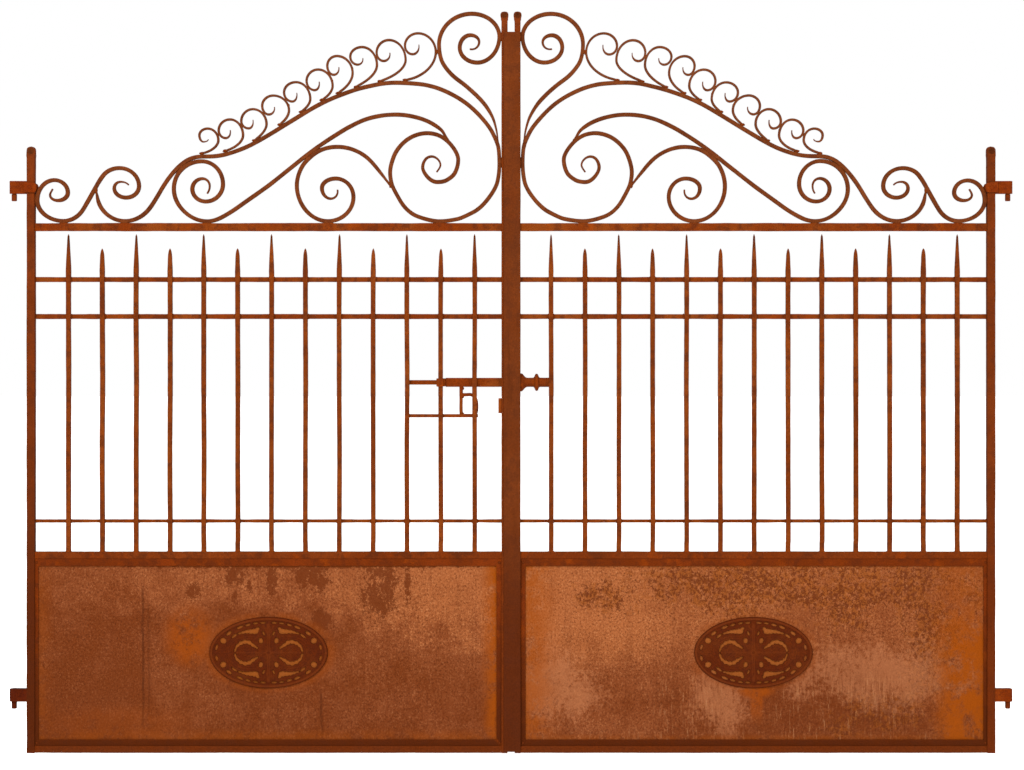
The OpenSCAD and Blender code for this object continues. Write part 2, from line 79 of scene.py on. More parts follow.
def add(name, verts, faces, mat, body, node=None, side="left", slot=None, smooth=True, angle=38):
    """verts in millimetres, drawn on the left leaf; side right mirrors them."""
    v = np.array(verts, float)
    f = faces
    if side == "right":
        v[:, 0] *= -1
        f = [tuple(reversed(q)) for q in f]
    me = bpy.data.meshes.new(name)
    me.from_pydata((v * 0.001).tolist(), [], [tuple(int(i) for i in q) for q in f])
    me.validate()
    bm = bmesh.new()
    bm.from_mesh(me)
    bmesh.ops.recalc_face_normals(bm, faces=bm.faces)
    bm.to_mesh(me)
    bm.free()
    if smooth:
        me.polygons.foreach_set("use_smooth", [True] * len(me.polygons))
        me.set_sharp_from_angle(angle=math.radians(angle))
    me.update()
    o = bpy.data.objects.new(name, me)
    bpy.context.scene.collection.objects.link(o)
    me.materials.append(mat)
    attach(o, body)
    if node:
        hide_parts(*([node] if isinstance(node, str) else node))
    ALL.append(o)
    return o


def ring_shape(a, b, r, per=3, mids=1):
    """rounded rectangle, half sizes a and b, corner radius r, as unit offsets (list of (x, y))"""
    r = min(r, a * 0.95, b * 0.95)
    pts = []
    corners = [(1, 1, 0), (-1, 1, 90), (-1, -1, 180), (1, -1, 270)]
    for k, (sx, sy, st) in enumerate(corners):
        cx, cy = sx * (a - r), sy * (b - r)
        for i in range(per + 1):
            t = math.radians(st + 90 * i / per)
            pts.append((cx + r * math.cos(t), cy + r * math.sin(t)))
        nx, ny, nst = corners[(k + 1) % 4]
        p0 = pts[-1]
        t = math.radians(nst)
        p1 = (nx * (a - r) + r * math.cos(t), ny * (b - r) + r * math.sin(t))
        for m in range(1, mids + 1):
            u = m / (mids + 1)
            pts.append((p0[0] * (1 - u) + p1[0] * u, p0[1] * (1 - u) + p1[1] * u))
    return np.array(pts)


def loft(rings, closed=False, caps=True):
    """rings: list of (m, 3) arrays -> verts, faces"""
    n, m = len(rings), len(rings[0])
    v = np.vstack(rings)
    f = []
    last = n if closed else n - 1
    for i in range(last):
        a, b = i * m, ((i + 1) % n) * m
        for j in range(m):
            k = (j + 1) % m
            f.append((a + j, a + k, b + k, b + j))
    if caps and not closed:
        c0, c1 = rings[0].mean(0), rings[-1].mean(0)
        v = np.vstack([v, c0, c1])
        i0, i1 = n * m, n * m + 1
        for j in range(m):
            k = (j + 1) % m
            f.append((i0, k, j))
            f.append((i1, (n - 1) * m + j, (n - 1) * m + k))
    return v, f


def rough(v, centre, amp, freq, side, amp2=0.0, freq2=0.0):
    """push points in or out from their section's centre"""
    d = v - centre
    l = np.linalg.norm(d, axis=1)
    l[l < 1e-6] = 1
    n = NOISE[side]
    s = amp * n(v * freq + 7.3)
    if amp2:
        s = s + amp2 * n(v * freq2 + 3.1)
    return v + d / l[:, None] * s[:, None]


def sweep(P, a, b, r=2.0, y=0.0, side="left", amp=0.3, freq=0.09, amp2=0.5, freq2=0.02, per=3, mids=1, cap=True):
    """bar along points P (x, z) in the plane of the gate; a half width in the plane, b half depth along y"""
    P = np.asarray(P, float)
    n = len(P)
    a = np.broadcast_to(np.asarray(a, float), (n,)).copy()
    b = np.broadcast_to(np.asarray(b, float), (n,)).copy()
    y = np.broadcast_to(np.asarray(y, float), (n,))
    T = np.gradient(P, axis=0)
    T /= np.linalg.norm(T, axis=1)[:, None]
    N = np.c_[-T[:, 1], T[:, 0]]
    rings, cents = [], []

    def one(p, nn, aa, bb, yy):
        s = ring_shape(aa, bb, r, per, mids)
        q = np.zeros((len(s), 3))
        q[:, 0] = p[0] + nn[0] * s[:, 0]
        q[:, 2] = p[1] + nn[1] * s[:, 0]
        q[:, 1] = yy + s[:, 1]
        rings.append(q)
        cents.append(np.tile([p[0], yy, p[1]], (len(s), 1)))

    if cap:
        for d, k in ((0.0, 0.55), (0.35, 0.86)):
            e = min(a[0], b[0]) * 0.7
            one(P[0] - T[0] * (e * (1 - d) if d else e), N[0], a[0] * k, b[0] * k, y[0])
    for i in range(n):
        one(P[i], N[i], a[i], b[i], y[i])
    if cap:
        for d, k in ((0.35, 0.86), (0.0, 0.55)):
            e = min(a[-1], b[-1]) * 0.7
            one(P[-1] + T[-1] * (e * (1 - d) if d else e), N[-1], a[-1] * k, b[-1] * k, y[-1])
    v, f = loft(rings)
    c = np.vstack(cents + [rings[0].mean(0)[None], rings[-1].mean(0)[None]])
    v = rough(v, c, amp, freq, side, amp2, freq2)
    return v, f


def merge(parts):
    V, F, n = [], [], 0
    for v, f in parts:
        V.append(np.asarray(v))
        F += [tuple(i + n for i in q) for q in f]
        n += len(v)
    return np.vstack(V), F


def line(p0, p1, step=8.0):
    p0, p1 = np.array(p0, float), np.array(p1, float)
    n = max(2, int(np.linalg.norm(p1 - p0) / step) + 1)
    return p0 + (p1 - p0) * np.linspace(0, 1, n)[:, None]


def blob(c, r, seed=0, nu=12, nv=8, amp=0.18, side="left"):
    """a lumpy weld bead"""
    v, f = [], []
    for i in range(nv + 1):
        t = math.pi * i / nv
        for j in range(nu):
            u = 2 * math.pi * j / nu
            v.append((math.sin(t) * math.cos(u), math.cos(t), math.sin(t) * math.sin(u)))
    v = np.array(v)
    s = 1 + amp * NOISE[side](v * 1.7 + np.array(c) * 0.13 + seed)
    v = v * s[:, None] * np.array(r) + np.array(c)
    for i in range(nv):
        for j in range(nu):
            k = (j + 1) % nu
            f.append((i * nu + j, i * nu + k, (i + 1) * nu + k, (i + 1) * nu + j))
    # close the poles
    v[:nu] = v[:nu].mean(0)
    v[-nu:] = v[-nu:].mean(0)
    keep_top, keep_bot = 0, nv * nu
    g = []
    for q in f:
        q = tuple(keep_top if i < nu else keep_bot if i >= nv * nu else i for i in q)
        q = tuple(dict.fromkeys(q))
        if len(q) >= 3:
            g.append(q)
    used = sorted({i for q in g for i in q})
    m = {i: k for k, i in enumerate(used)}
    return v[used], [tuple(m[i] for i in q) for q in g]


def lathe(profile, axis, at, n=48, hollow=False, side="left", amp=0.0, freq=0.1):
    """profile: list of (radius, along); axis 'x', 'y' or 'z'; at: a point on the axis"""
    rings = []
    for r, s in profile:
        t = np.linspace(0, 2 * math.pi, n, endpoint=False)
        c, d = r * np.cos(t), r * np.sin(t)
        if axis == "z":
            q = np.c_[c, d, np.full(n, s)]
        elif axis == "x":
            q = np.c_[np.full(n, s), c, d]
        else:
            q = np.c_[c, np.full(n, s), d]
        rings.append(q + np.array(at))
    v, f = loft(rings, closed=hollow, caps=not hollow)
    if amp:
        ax = {"x": 0, "y": 1, "z": 2}[axis]
        c = np.tile(np.array(at, float), (len(v), 1))
        c[:, ax] = v[:, ax]
        v = rough(v, c, amp, freq, side)
    return v, f


def slab(outline, plane, d0, d1, bevel=1.2, segs=2, hole=None):
    """an outline extruded between d0 and d1 with rounded edges; plane 'xz' (depth y) or 'xy' (depth z)"""
    bm = bmesh.new()

    def P(p, d):
        return (p[0], d, p[1]) if plane == "xz" else (p[0], p[1], d)

    loops = [outline] + ([hole] if hole else [])
    lo = [[bm.verts.new(P(p, d0)) for p in L] for L in loops]
    hi = [[bm.verts.new(P(p, d1)) for p in L] for L in loops]
    for L in range(len(loops)):
        n = len(loops[L])
        for i in range(n):
            k = (i + 1) % n
            bm.faces.new((lo[L][i], lo[L][k], hi[L][k], hi[L][i]))
    for vs in (lo, hi):
        if hole:
            edges = []
            for L in range(2):
                n = len(loops[L])
                for i in range(n):
                    edges.append(bm.edges.get((vs[L][i], vs[L][(i + 1) % n])))
            bmesh.ops.triangle_fill(bm, use_beauty=True, use_dissolve=False, edges=edges)
        else:
            bm.faces.new(vs[0])
    bmesh.ops.recalc_face_normals(bm, faces=bm.faces)
    rim = [e for e in bm.edges if len(e.link_faces) == 2 and e.calc_face_angle(0) > 0.9]
    bmesh.ops.bevel(bm, geom=rim, offset=bevel, segments=segs, profile=0.6, affect="EDGES", clamp_overlap=True)
    bm.verts.index_update()
    v = np.array([list(x.co) for x in bm.verts])
    f = [tuple(x.index for x in q.verts) for q in bm.faces]
    bm.free()
    return v, f


# ------------------------------------------------------------------ the curves of the scrollwork
def wrap(a):
    return a - 360 * math.floor((a + 180) / 360)


def arc_of(k0, k1, step):
    p0, p1 = np.array(k0[:2], float), np.array(k1[:2], float)
    t0 = np.array([math.cos(math.radians(k0[2])), math.sin(math.radians(k0[2]))])
    t1 = np.array([math.cos(math.radians(k1[2])), math.sin(math.radians(k1[2]))])
    c = p1 - p0
    L = float(np.linalg.norm(c))
    turn = abs(wrap(k1[2] - k0[2]))
    den = t0[0] * t1[1] - t0[1] * t1[0]
    a = (c[0] * t1[1] - c[1] * t1[0]) / den if abs(den) > 0.03 else -1
    b = (t0[0] * c[1] - t0[1] * c[0]) / den if abs(den) > 0.03 else -1
    if a > 0.05 * L and b > 0.05 * L and a < 2.5 * L and b < 2.5 * L:
        k = 4 / 3 * math.tan(math.radians(turn / 4)) / math.tan(math.radians(turn / 2))
        h0, h1 = k * a, k * b
    else:
        h0 = h1 = L / 3
    q0, q1 = p0 + h0 * t0, p1 - h1 * t1
    n = max(3, int(L * 1.12 / step))
    t = (np.arange(n) / n)[:, None]
    u = 1 - t
    return u ** 3 * p0 + 3 * u * u * t * q0 + 3 * u * t * t * q1 + t ** 3 * p1


def curve(knots, step=3.5):
    P = np.vstack([arc_of(knots[i], knots[i + 1], step) for i in range(len(knots) - 1)] + [np.array(knots[-1][:2], float)[None]])
    # even spacing and a light smoothing
    for _ in range(2):
        Q = P.copy()
        Q[1:-1] = 0.25 * P[:-2] + 0.5 * P[1:-1] + 0.25 * P[2:]
        P = Q
    s = np.r_[0, np.cumsum(np.linalg.norm(np.diff(P, axis=0), axis=1))]
    n = int(s[-1] / step)
    t = np.linspace(0, s[-1], n)
    return np.c_[np.interp(t, s, P[:, 0]), np.interp(t, s, P[:, 1])]


def ease(x):
    x = np.clip(x, 0, 1)
    return x * x * (3 - 2 * x)


FOOT = RAIL_Z + 6.0
HUG_S, HUG_M = -(SI - 6.0), -(MO + 6.5)
OUTER = [(-1375, 1689, -115), (-1383, 1672, -90), (-1359, 1655, 0), (-1329, 1679, 90), (-1369, 1717, 180), (HUG_S, 1657, -90),
         (-1342, FOOT, 0), (-1284, 1628, 58), (-1248, 1692, 62), (-1222, 1733, 50), (-1175, 1753, 0), (-1116, 1699, -90),
         (-1156, 1664, 180), (-1191, 1693, 90), (-1172, 1712, 0), (-1148, 1703, -55)]
ARCH = [(-1246, 1700, -95), (-1241, 1666, -82), (-1158, FOOT, 0), (-1086, 1631, 52), (-1051, 1685, 59), (-1011, 1741, 49),
        (-975, 1774, 34), (-931, 1788, 3), (-891, 1789, 4), (-837, 1800, 18), (-784, 1821, 26), (-684, 1879, 32),
        (-585, 1939, 29), (-510, 1973, 20), (-435, 1996, 13), (-387, 2006, 8), (-327, 2009, -2), (-261, 2004, -10),
        (-201, 1986, -24), (-135, 1948, -37), (-90, 1906, -48), (-57, 1862, -62), (HUG_M - 4, 1821, -75), (HUG_M, 1770, -90),
        (-41, 1712, -103), (-66, 1665, -127), (-112, 1622, -152), (-159, 1601, -168), (-216, FOOT, 180), (-279, 1608, 160),
        (-333, 1656, 120), (-356, 1700, 110), (-363, 1740, 90), (-351, 1789, 68), (-327, 1825, 46), (-286, 1852, 20),
        (-246, 1858, -4), (-207, 1846, -32), (-177, 1819, -52), (-158, 1778, -90), (-168, 1738, -118), (-192, 1717, -150),
        (-222, 1711, 180), (-252, 1728, 130), (-265, 1755, 90), (-256, 1780, 50), (-238, 1788, 0), (-217, 1777, -50),
        (-211, 1762, -90), (-222, 1742, -130)]
LOWER = [(-911, 1678, 52), (-904, 1700, 90), (-925, 1722, 180), (-956, 1690, -90), (-916, 1653, 0), (-864, 1705, 90),
         (-928, 1774, 180), (-1011, 1690, -90), (-998, 1645, -58), (-911, FOOT, 0), (-871, 1604, 26), (-811, 1641, 36),
         (-735, 1695, 36), (-684, 1735, 39), (-634, 1775, 39), (-585, 1813, 36), (-535, 1847, 32), (-486, 1876, 27),
         (-435, 1899, 19), (-387, 1911, 9), (-346, 1914, 0), (-297, 1909, -12), (-252, 1895, -24), (-211, 1869, -40),
         (-190, 1838, -50)]
MIDDLE = [(-520, 1687, -78), (-540, 1661, 180), (-567, 1693, 90), (-525, 1722, 0), (-473, 1666, -90), (-549, FOOT, 180),
          (-642, 1700, 90), (-625, 1760, 60), (-595, 1792, 40), (-555, 1813, 15), (-516, 1817, -2), (-475, 1809, -20),
          (-435, 1787, -38), (-396, 1745, -52), (-362, 1701, -57)]
TOP = [(-122, 2110, -14), (-95, 2131, 90), (-122, 2152, 180), (-154, 2115, -90), (-101, 2070, 0), (HUG_M, 2147, 90),
       (-119, 2216, 180), (-216, 2124, -90), (-209, 2078, -72), (-181, 2037, -47), (-135, 2000, -40), (-85, 1952, -50),
       (-57, 1908, -64), (-44, 1867, -77), (HUG_M - 3, 1820, -86)]
CREST = [
    (-910, 1872, -935, 1852, -922, 1832, -908, 1839, -880, 1837, -930, 1797, -170),
    (-843, 1899, -873, 1866, -855, 1843, -842, 1866, -806, 1852, -860, 1804, -165),
    (-774, 1930, -805, 1893, -786, 1872, -774, 1897, -736, 1885, -772, 1835, -146),
    (-714, 1971, -743, 1940, -727, 1914, -710, 1936, -668, 1927, -696, 1883, -146),
    (-645, 2011, -677, 1980, -655, 1953, -642, 1978, -604, 1961, -632, 1921, -148),
    (-579, 2049, -609, 2015, -588, 1987, -575, 2012, -537, 2000, -569, 1957, -150),
    (-522, 2089, -547, 2060, -531, 2033, -516, 2055, -477, 2038, -521, 1978, -152),
    (-447, 2116, -478, 2087, -459, 2063, -444, 2082, -404, 2062, -467, 1996, -156),
    (-366, 2137, -399, 2099, -381, 2074, -363, 2098, -318, 2077, -395, 2013, -163),
    (-279, 2157, -314, 2120, -294, 2094, -276, 2122, -227, 2101, -320, 2017, -172)]


def scroll(knots, w, d, e0, t0, e1, t1, side, step=3.5):
    P = curve(knots, step)
    s = np.r_[0, np.cumsum(np.linalg.norm(np.diff(P, axis=0), axis=1))]
    T = s[-1]
    half = np.minimum(e0 + (w - e0) * ease(s / t0), e1 + (w - e1) * ease((T - s) / t1)) / 2
    depth = d / 2 * (0.72 + 0.28 * np.minimum(ease(s / (t0 * 0.8)), ease((T - s) / (t1 * 0.8))))
    wob = NOISE[side]
    P3 = np.c_[P, np.zeros(len(P))]
    P = P + np.c_[wob(P3 * 0.011 + 5.0), wob(P3 * 0.011 + 15.0)] * 0.7
    return sweep(P, half, depth, r=min(w, d) * 0.2, side=side, amp=0.07, freq=0.13, amp2=0.28, freq2=0.030)


# ------------------------------------------------------------------ materials
def lin(c):
    return tuple(((x / 255) / 12.92 if x / 255 <= 0.04045 else ((x / 255 + 0.055) / 1.055) ** 2.4) for x in c) + (1.0,)


class Tree:
    def __init__(self, name):
        self.m = bpy.data.materials.new(name)
        self.m.use_nodes = True
        self.t = self.m.node_tree
        self.b = self.t.nodes["Principled BSDF"]
        self.co = self.n("ShaderNodeTexCoord")

    def n(self, kind, **kw):
        o = self.t.nodes.new(kind)
        for k, v in kw.items():
            setattr(o, k, v)
        return o

    def link(self, a, b):
        self.t.links.new(a, b)

    def mapped(self, scale=(1, 1, 1), loc=(0, 0, 0)):
        m = self.n("ShaderNodeMapping")
        m.inputs["Scale"].default_value = scale
        m.inputs["Location"].default_value = loc
        self.link(self.co.outputs["Object"], m.inputs["Vector"])
        return m.outputs["Vector"]

    def noise(self, scale, detail=6, rough=0.55, vec=None, dist=0.0):
        o = self.n("ShaderNodeTexNoise")
        o.inputs["Scale"].default_value = scale
        o.inputs["Detail"].default_value = detail
        o.inputs["Roughness"].default_value = rough
        o.inputs["Distortion"].default_value = dist
        self.link(vec if vec is not None else self.co.outputs["Object"], o.inputs["Vector"])
        return o.outputs["Fac"]

    def voronoi(self, scale, feature="F1", vec=None):
        o = self.n("ShaderNodeTexVoronoi", feature=feature)
        o.inputs["Scale"].default_value = scale
        self.link(vec if vec is not None else self.co.outputs["Object"], o.inputs["Vector"])
        return o.outputs["Distance"]

    def rng(self, v, a, b, c=0.0, d=1.0, smooth=True):
        o = self.n("ShaderNodeMapRange")
        o.interpolation_type = "SMOOTHSTEP" if smooth else "LINEAR"
        o.inputs["From Min"].default_value = a
        o.inputs["From Max"].default_value = b
        o.inputs["To Min"].default_value = c
        o.inputs["To Max"].default_value = d
        self.link(v, o.inputs["Value"])
        return o.outputs["Result"]

    def math(self, op, a, b=None, clamp=False):
        o = self.n("ShaderNodeMath", operation=op)
        o.use_clamp = clamp
        for i, x in enumerate((a, b)):
            if x is None:
                continue
            if isinstance(x, (int, float)):
                o.inputs[i].default_value = x
            else:
                self.link(x, o.inputs[i])
        return o.outputs[0]

    def mix(self, fac, a, b, kind="MIX"):
        o = self.n("ShaderNodeMix", data_type="RGBA", blend_type=kind)
        for sock, x in ((o.inputs[0], fac), (o.inputs[6], a), (o.inputs[7], b)):
            if isinstance(x, (int, float)):
                sock.default_value = x
            elif isinstance(x, tuple):
                sock.default_value = x
            else:
                self.link(x, sock)
        return o.outputs[2]

    def xyz(self):
        s = self.n("ShaderNodeSeparateXYZ")
        self.link(self.co.outputs["Object"], s.inputs[0])
        return s.outputs

    def spot(self, cx, cz, a, b):
        """1 in the middle of an ellipse in the plane of the gate, 0 on its edge, negative outside"""
        v = self.mapped((1 / a, 0, 1 / b), (-cx / a, 0, -cz / b))
        o = self.n("ShaderNodeVectorMath", operation="LENGTH")
        self.link(v, o.inputs[0])
        return self.math("SUBTRACT", 1.0, o.outputs["Value"])

    def most(self, items):
        r = items[0]
        for i in items[1:]:
            r = self.math("MAXIMUM", r, i)
        return r

    def bump(self, h, strength, dist, normal=None):
        o = self.n("ShaderNodeBump")
        o.inputs["Strength"].default_value = strength
        o.inputs["Distance"].default_value = dist
        self.link(h, o.inputs["Height"])
        if normal is not None:
            self.link(normal, o.inputs["Normal"])
        return o.outputs["Normal"]


GAIN = (0.362, 0.292, 0.125)
SHEET_GAIN = (0.405, 0.405, 0.335)


def col(c, k=1.0, g=None):
    l = lin(c)
    g = g or GAIN
    return (l[0] * g[0] * k, l[1] * g[1] * k, l[2] * g[2] * k, 1.0)


def rust(name, base, dark, light, bright, patch=7.0, bright_amt=0.35, dark_amt=0.45, grain=0.35, shift=0.0, streak=0.25, low=None, edge=0.35, hollow=None):
    """rusted wrought iron; base, dark, light, bright are sRGB colours as seen"""
    T = Tree(name)
    v = T.mapped((1, 1, 1), (shift, shift * 0.7, shift * 1.3))
    big = T.noise(patch, 5, 0.6, v, 0.4)
    mid = T.noise(patch * 5.5, 5, 0.62, v, 0.3)
    fine = T.noise(330, 4, 0.65, v)
    tiny = T.noise(1300, 2, 0.6, v)
    stv = T.mapped((55, 55, 4.0), (shift, 0, 0))
    stre = T.noise(1.0, 5, 0.6, stv)
    c = T.mix(T.rng(big, 0.40, 0.66), col(base), col(light))
    c = T.mix(T.math("MULTIPLY", T.rng(mid, 0.47, 0.62), dark_amt), c, col(dark))
    c = T.mix(T.math("MULTIPLY", T.rng(T.noise(patch * 2.6, 6, 0.65, T.mapped((1, 1, 1), (3 + shift, 1, 2))), 0.54, 0.66), bright_amt), c, col(bright))
    c = T.mix(T.math("MULTIPLY", T.rng(stre, 0.50, 0.72), streak), c, col(dark))
    if low is not None:
        z = T.xyz()[2]
        c = T.mix(T.rng(z, low[0], low[1], low[3], 0.0), c, col(low[2]))
    # painted shade and painted highlight on relief: the lowest faces get the darker colour and the most raised faces
    # the lighter one, by depth along y
    if hollow is not None:
        y = T.xyz()[1]
        c = T.mix(T.rng(y, -0.0058, -0.0026, 0.0, hollow[1]), c, col(hollow[0]))
        c = T.mix(T.rng(y, -0.0062, -0.0084, 0.0, hollow[3]), c, col(hollow[2]))
    if edge:
        g = T.n("ShaderNodeNewGeometry")
        c = T.mix(T.math("MULTIPLY", T.rng(g.outputs["Pointiness"], 0.515, 0.60), edge), c, col(bright))
    g1 = T.rng(fine, 0.30, 0.70, 1 - grain, 1 + grain * 0.8, False)
    g2 = T.rng(tiny, 0.30, 0.70, 1 - grain * 0.5, 1 + grain * 0.5, False)
    gg = T.math("MULTIPLY", g1, g2)
    cc = T.n("ShaderNodeCombineColor")
    for i in range(3):
        T.link(gg, cc.inputs[i])
    c = T.mix(1.0, c, cc.outputs[0], "MULTIPLY")
    T.link(c, T.b.inputs["Base Color"])
    T.link(T.rng(mid, 0.3, 0.7, 0.95, 0.72), T.b.inputs["Roughness"])
    T.b.inputs["Specular IOR Level"].default_value = 0.03
    pits = T.rng(T.voronoi(210, vec=v), 0.0, 0.45)
    n = T.bump(mid, 0.5, 0.0012)
    n = T.bump(fine, 0.55, 0.0006, n)
    n = T.bump(pits, 0.35, 0.0004, n)
    n = T.bump(tiny, 0.3, 0.00025, n)
    T.link(n, T.b.inputs["Normal"])
    return T.m


def sheet_mat(name, side):
    """rusted sheet: brown to salmon, crumbly dark patches, grain, run marks"""
    T = Tree(name)
    L = side == "left"
    o = 2.0 if L else 8.0

    def C(r, g, b):
        return col((r, g, b), 1.0, SHEET_GAIN)

    x, y, z = T.xyz()
    S = lambda v, a, b, lo=0.0, hi=1.0: T.rng(v, a, b, lo, hi)
    mul = lambda *a: a[0] if len(a) == 1 else T.math("MULTIPLY", a[0], mul(*a[1:]))
    plus = lambda *a: a[0] if len(a) == 1 else T.math("ADD", a[0], plus(*a[1:]))
    warp = T.noise(3.2, 5, 0.6, T.mapped((1, 1, 1), (o, 0, 0)))
    warp2 = T.noise(11.0, 6, 0.65, T.mapped((1, 1, 1), (o, 0, 4)))
    grain = T.noise(185, 3, 0.8, T.mapped((1, 1, 0.85), (o, 0, 0)))
    grain2 = T.noise(80, 5, 0.78, T.mapped((1, 1, 0.8), (0, o, 0)))
    tiny = T.noise(430, 2, 0.75)
    if L:
        right = S(x, -0.62, -0.24)
        ze = plus(z, mul(right, 0.085))
        top = S(plus(ze, T.rng(warp2, 0.3, 0.7, -0.05, 0.05, False)), 0.37, 0.49)
        g = plus(mul(top, S(x, -1.42, -0.20, 0.30, 0.58)), mul(right, S(z, 0.10, 0.30, 0.05, 0.20)))
        g = plus(g, mul(S(x, -0.95, -1.38), S(z, 0.36, 0.08, -0.08, -0.34)))
        g = plus(g, 0.13)
    else:
        g = plus(S(z, 0.07, 0.25, 0.38, 0.70), S(z, 0.24, 0.40, 0.0, 0.26), S(x, 0.30, 0.52, 0.04, -0.14))
        g = plus(g, mul(T.rng(T.spot(0.90, 0.25, 0.36, 0.30), 0.0, 0.7), -0.30), mul(S(x, 1.00, 1.22), S(z, 0.24, 0.46, 0.02, -0.20)))
        g = plus(g, mul(T.rng(T.spot(0.34, 0.19, 0.17, 0.12), 0.0, 0.6), -0.34))
    g = plus(g, T.rng(warp, 0.3, 0.7, -0.15, 0.15, False), T.rng(warp2, 0.3, 0.7, -0.25, 0.25, False))
    g = T.math("ADD", g, T.rng(grain2, 0.3, 0.7, -0.24, 0.24, False), True)
    c = T.mix(T.rng(g, 0.0, 0.5, 0, 1, False), C(122, 56, 22), C(146, 76, 42))
    c = T.mix(T.rng(g, 0.5, 1.0, 0, 1, False), c, C(178, 101, 60))
    # grain: dark pits and pale specks everywhere
    c = T.mix(mul(S(grain, 0.50, 0.36), 0.66), c, C(88, 37, 12))
    c = T.mix(mul(S(grain, 0.54, 0.68), T.rng(g, 0.0, 1.0, 0.18, 0.66)), c, C(210, 142, 100))
    # faint vertical run marks
    runs = T.noise(1.0, 6, 0.66, T.mapped((30, 30, 1.8), (o, 0, 0)))
    c = T.mix(mul(S(runs, 0.52, 0.66), 0.22), c, C(112, 50, 18))
    runs2 = T.noise(1.0, 4, 0.6, T.mapped((170, 170, 2.4), (5.0 + o, 0, 1)))
    c = T.mix(mul(S(runs2, 0.60, 0.68), 0.24), c, C(104, 46, 18))
    crumb = T.noise(62, 6, 0.82, T.mapped((1, 1, 0.7), (o, 3, 0)))
    crumb2 = T.noise(24, 5, 0.7, T.mapped((1, 1, 0.6), (o, 7, 0)))
    rag = plus(T.rng(crumb, 0.3, 0.7, -0.80, 0.80, False), T.rng(crumb2, 0.3, 0.7, -0.50, 0.50, False))
    if L:
        spots = [T.spot(*q) for q in ((-0.953, 0.484, 0.030, 0.034), (-0.826, 0.530, 0.034, 0.050), (-0.786, 0.515, 0.010, 0.050), (-0.829, 0.465, 0.011, 0.030),
                                      (-0.717, 0.515, 0.022, 0.080), (-0.600, 0.540, 0.075, 0.078), (-0.566, 0.405, 0.034, 0.044),
                                      (-0.397, 0.500, 0.068, 0.115), (-0.310, 0.520, 0.013, 0.095), (-0.66, 0.565, 0.70, 0.020))]
        m = plus(T.rng(T.most(spots), -0.6, 0.55, -0.85, 0.52, False), rag)
        patches = S(m, 0.22, 0.34)
        c = T.mix(mul(patches, 0.86), c, C(112, 49, 16))
        few = plus(T.spot(-0.55, 0.45, 0.75, 0.24), T.rng(warp2, 0.2, 0.8, -0.5, 0.5, False))
        sp = S(plus(T.noise(110, 4, 0.85, T.mapped((1, 1, 1), (o, 1, 1))), T.rng(few, -0.2, 0.8, -0.07, 0.05, False)), 0.575, 0.625)
        c = T.mix(mul(sp, 0.55), c, C(106, 46, 16))
        wob = T.rng(T.noise(9.0, 3, 0.6), 0.2, 0.8, -0.006, 0.006, False)
        lines = []
        for lx, za, zb, k in ((-1.104, 0.07, 0.52, 0.80), (-1.088, 0.10, 0.47, 0.45), (-0.568, 0.04, 0.20, 0.70), (-0.700, 0.05, 0.16, 0.35)):
            d = T.math("ABSOLUTE", plus(T.math("SUBTRACT", x, lx), wob))
            lines.append(mul(S(d, 0.0052, 0.0016), S(z, za, za + 0.02), S(z, zb, zb - 0.04, 0.0, k)))
        c = T.mix(mul(T.most(lines), S(grain2, 0.36, 0.52)), c, C(92, 40, 14))
    else:
        spots = [T.spot(*q) for q in ((0.66, 0.500, 0.40, 0.120), (1.02, 0.490, 0.46, 0.140), (1.27, 0.320, 0.12, 0.26), (0.27, 0.465, 0.10, 0.060), (1.10, 0.12, 0.20, 0.09))]
        den = plus(T.most(spots), T.rng(warp2, 0.25, 0.75, -0.85, 0.85, False))
        den = T.rng(den, -0.25, 0.75, 0.0, 1.0)
        halo = S(plus(T.noise(46, 5, 0.7, T.mapped((1, 1, 1), (o, 2, 1))), mul(den, 0.13)), 0.56, 0.66)
        c = T.mix(mul(halo, mul(den, 0.62)), c, C(152, 78, 22))
        fine = T.noise(95, 5, 0.85, T.mapped((1, 1, 0.85), (o, 1, 1)))
        patches = S(plus(fine, mul(den, 0.135), T.rng(crumb2, 0.3, 0.7, -0.05, 0.05, False)), 0.625, 0.665)
        c = T.mix(mul(patches, 0.86), c, C(106, 46, 17))
        # pale drips low down, brown smears between them
        dz = mul(S(z, 0.27, 0.20), T.most([mul(S(x, 0.40, 0.46), S(x, 0.66, 0.60)), mul(S(x, 0.76, 0.82), S(x, 1.26, 1.12)), S(z, 0.11, 0.05, 0.0, 0.6)]))
        dr = T.noise(1.0, 6, 0.82, T.mapped((120, 120, 15), (1.0 + o, 0, 2)))
        pz = T.most([T.spot(0.13, 0.19, 0.17, 0.13), T.spot(1.10, 0.23, 0.34, 0.12), T.spot(0.62, 0.15, 0.10, 0.12)])
        c = T.mix(mul(S(plus(pz, T.rng(grain2, 0.3, 0.7, -0.5, 0.5, False), T.rng(warp2, 0.3, 0.7, -0.4, 0.4, False)), 0.0, 0.7), 0.55), c, C(184, 114, 80))
        c = T.mix(mul(S(dr, 0.52, 0.40), dz, 0.50), c, C(110, 50, 22))
        c = T.mix(mul(S(dr, 0.55, 0.64), dz, 0.46), c, C(204, 142, 104))
        # light smears, level
        sm = T.noise(1.0, 5, 0.65, T.mapped((3.0, 3.0, 38), (2.0, 0, 2)))
        c = T.mix(mul(S(sm, 0.54, 0.68), S(T.spot(0.72, 0.24, 0.80, 0.16), 0.0, 0.6), 0.38), c, C(190, 118, 78))
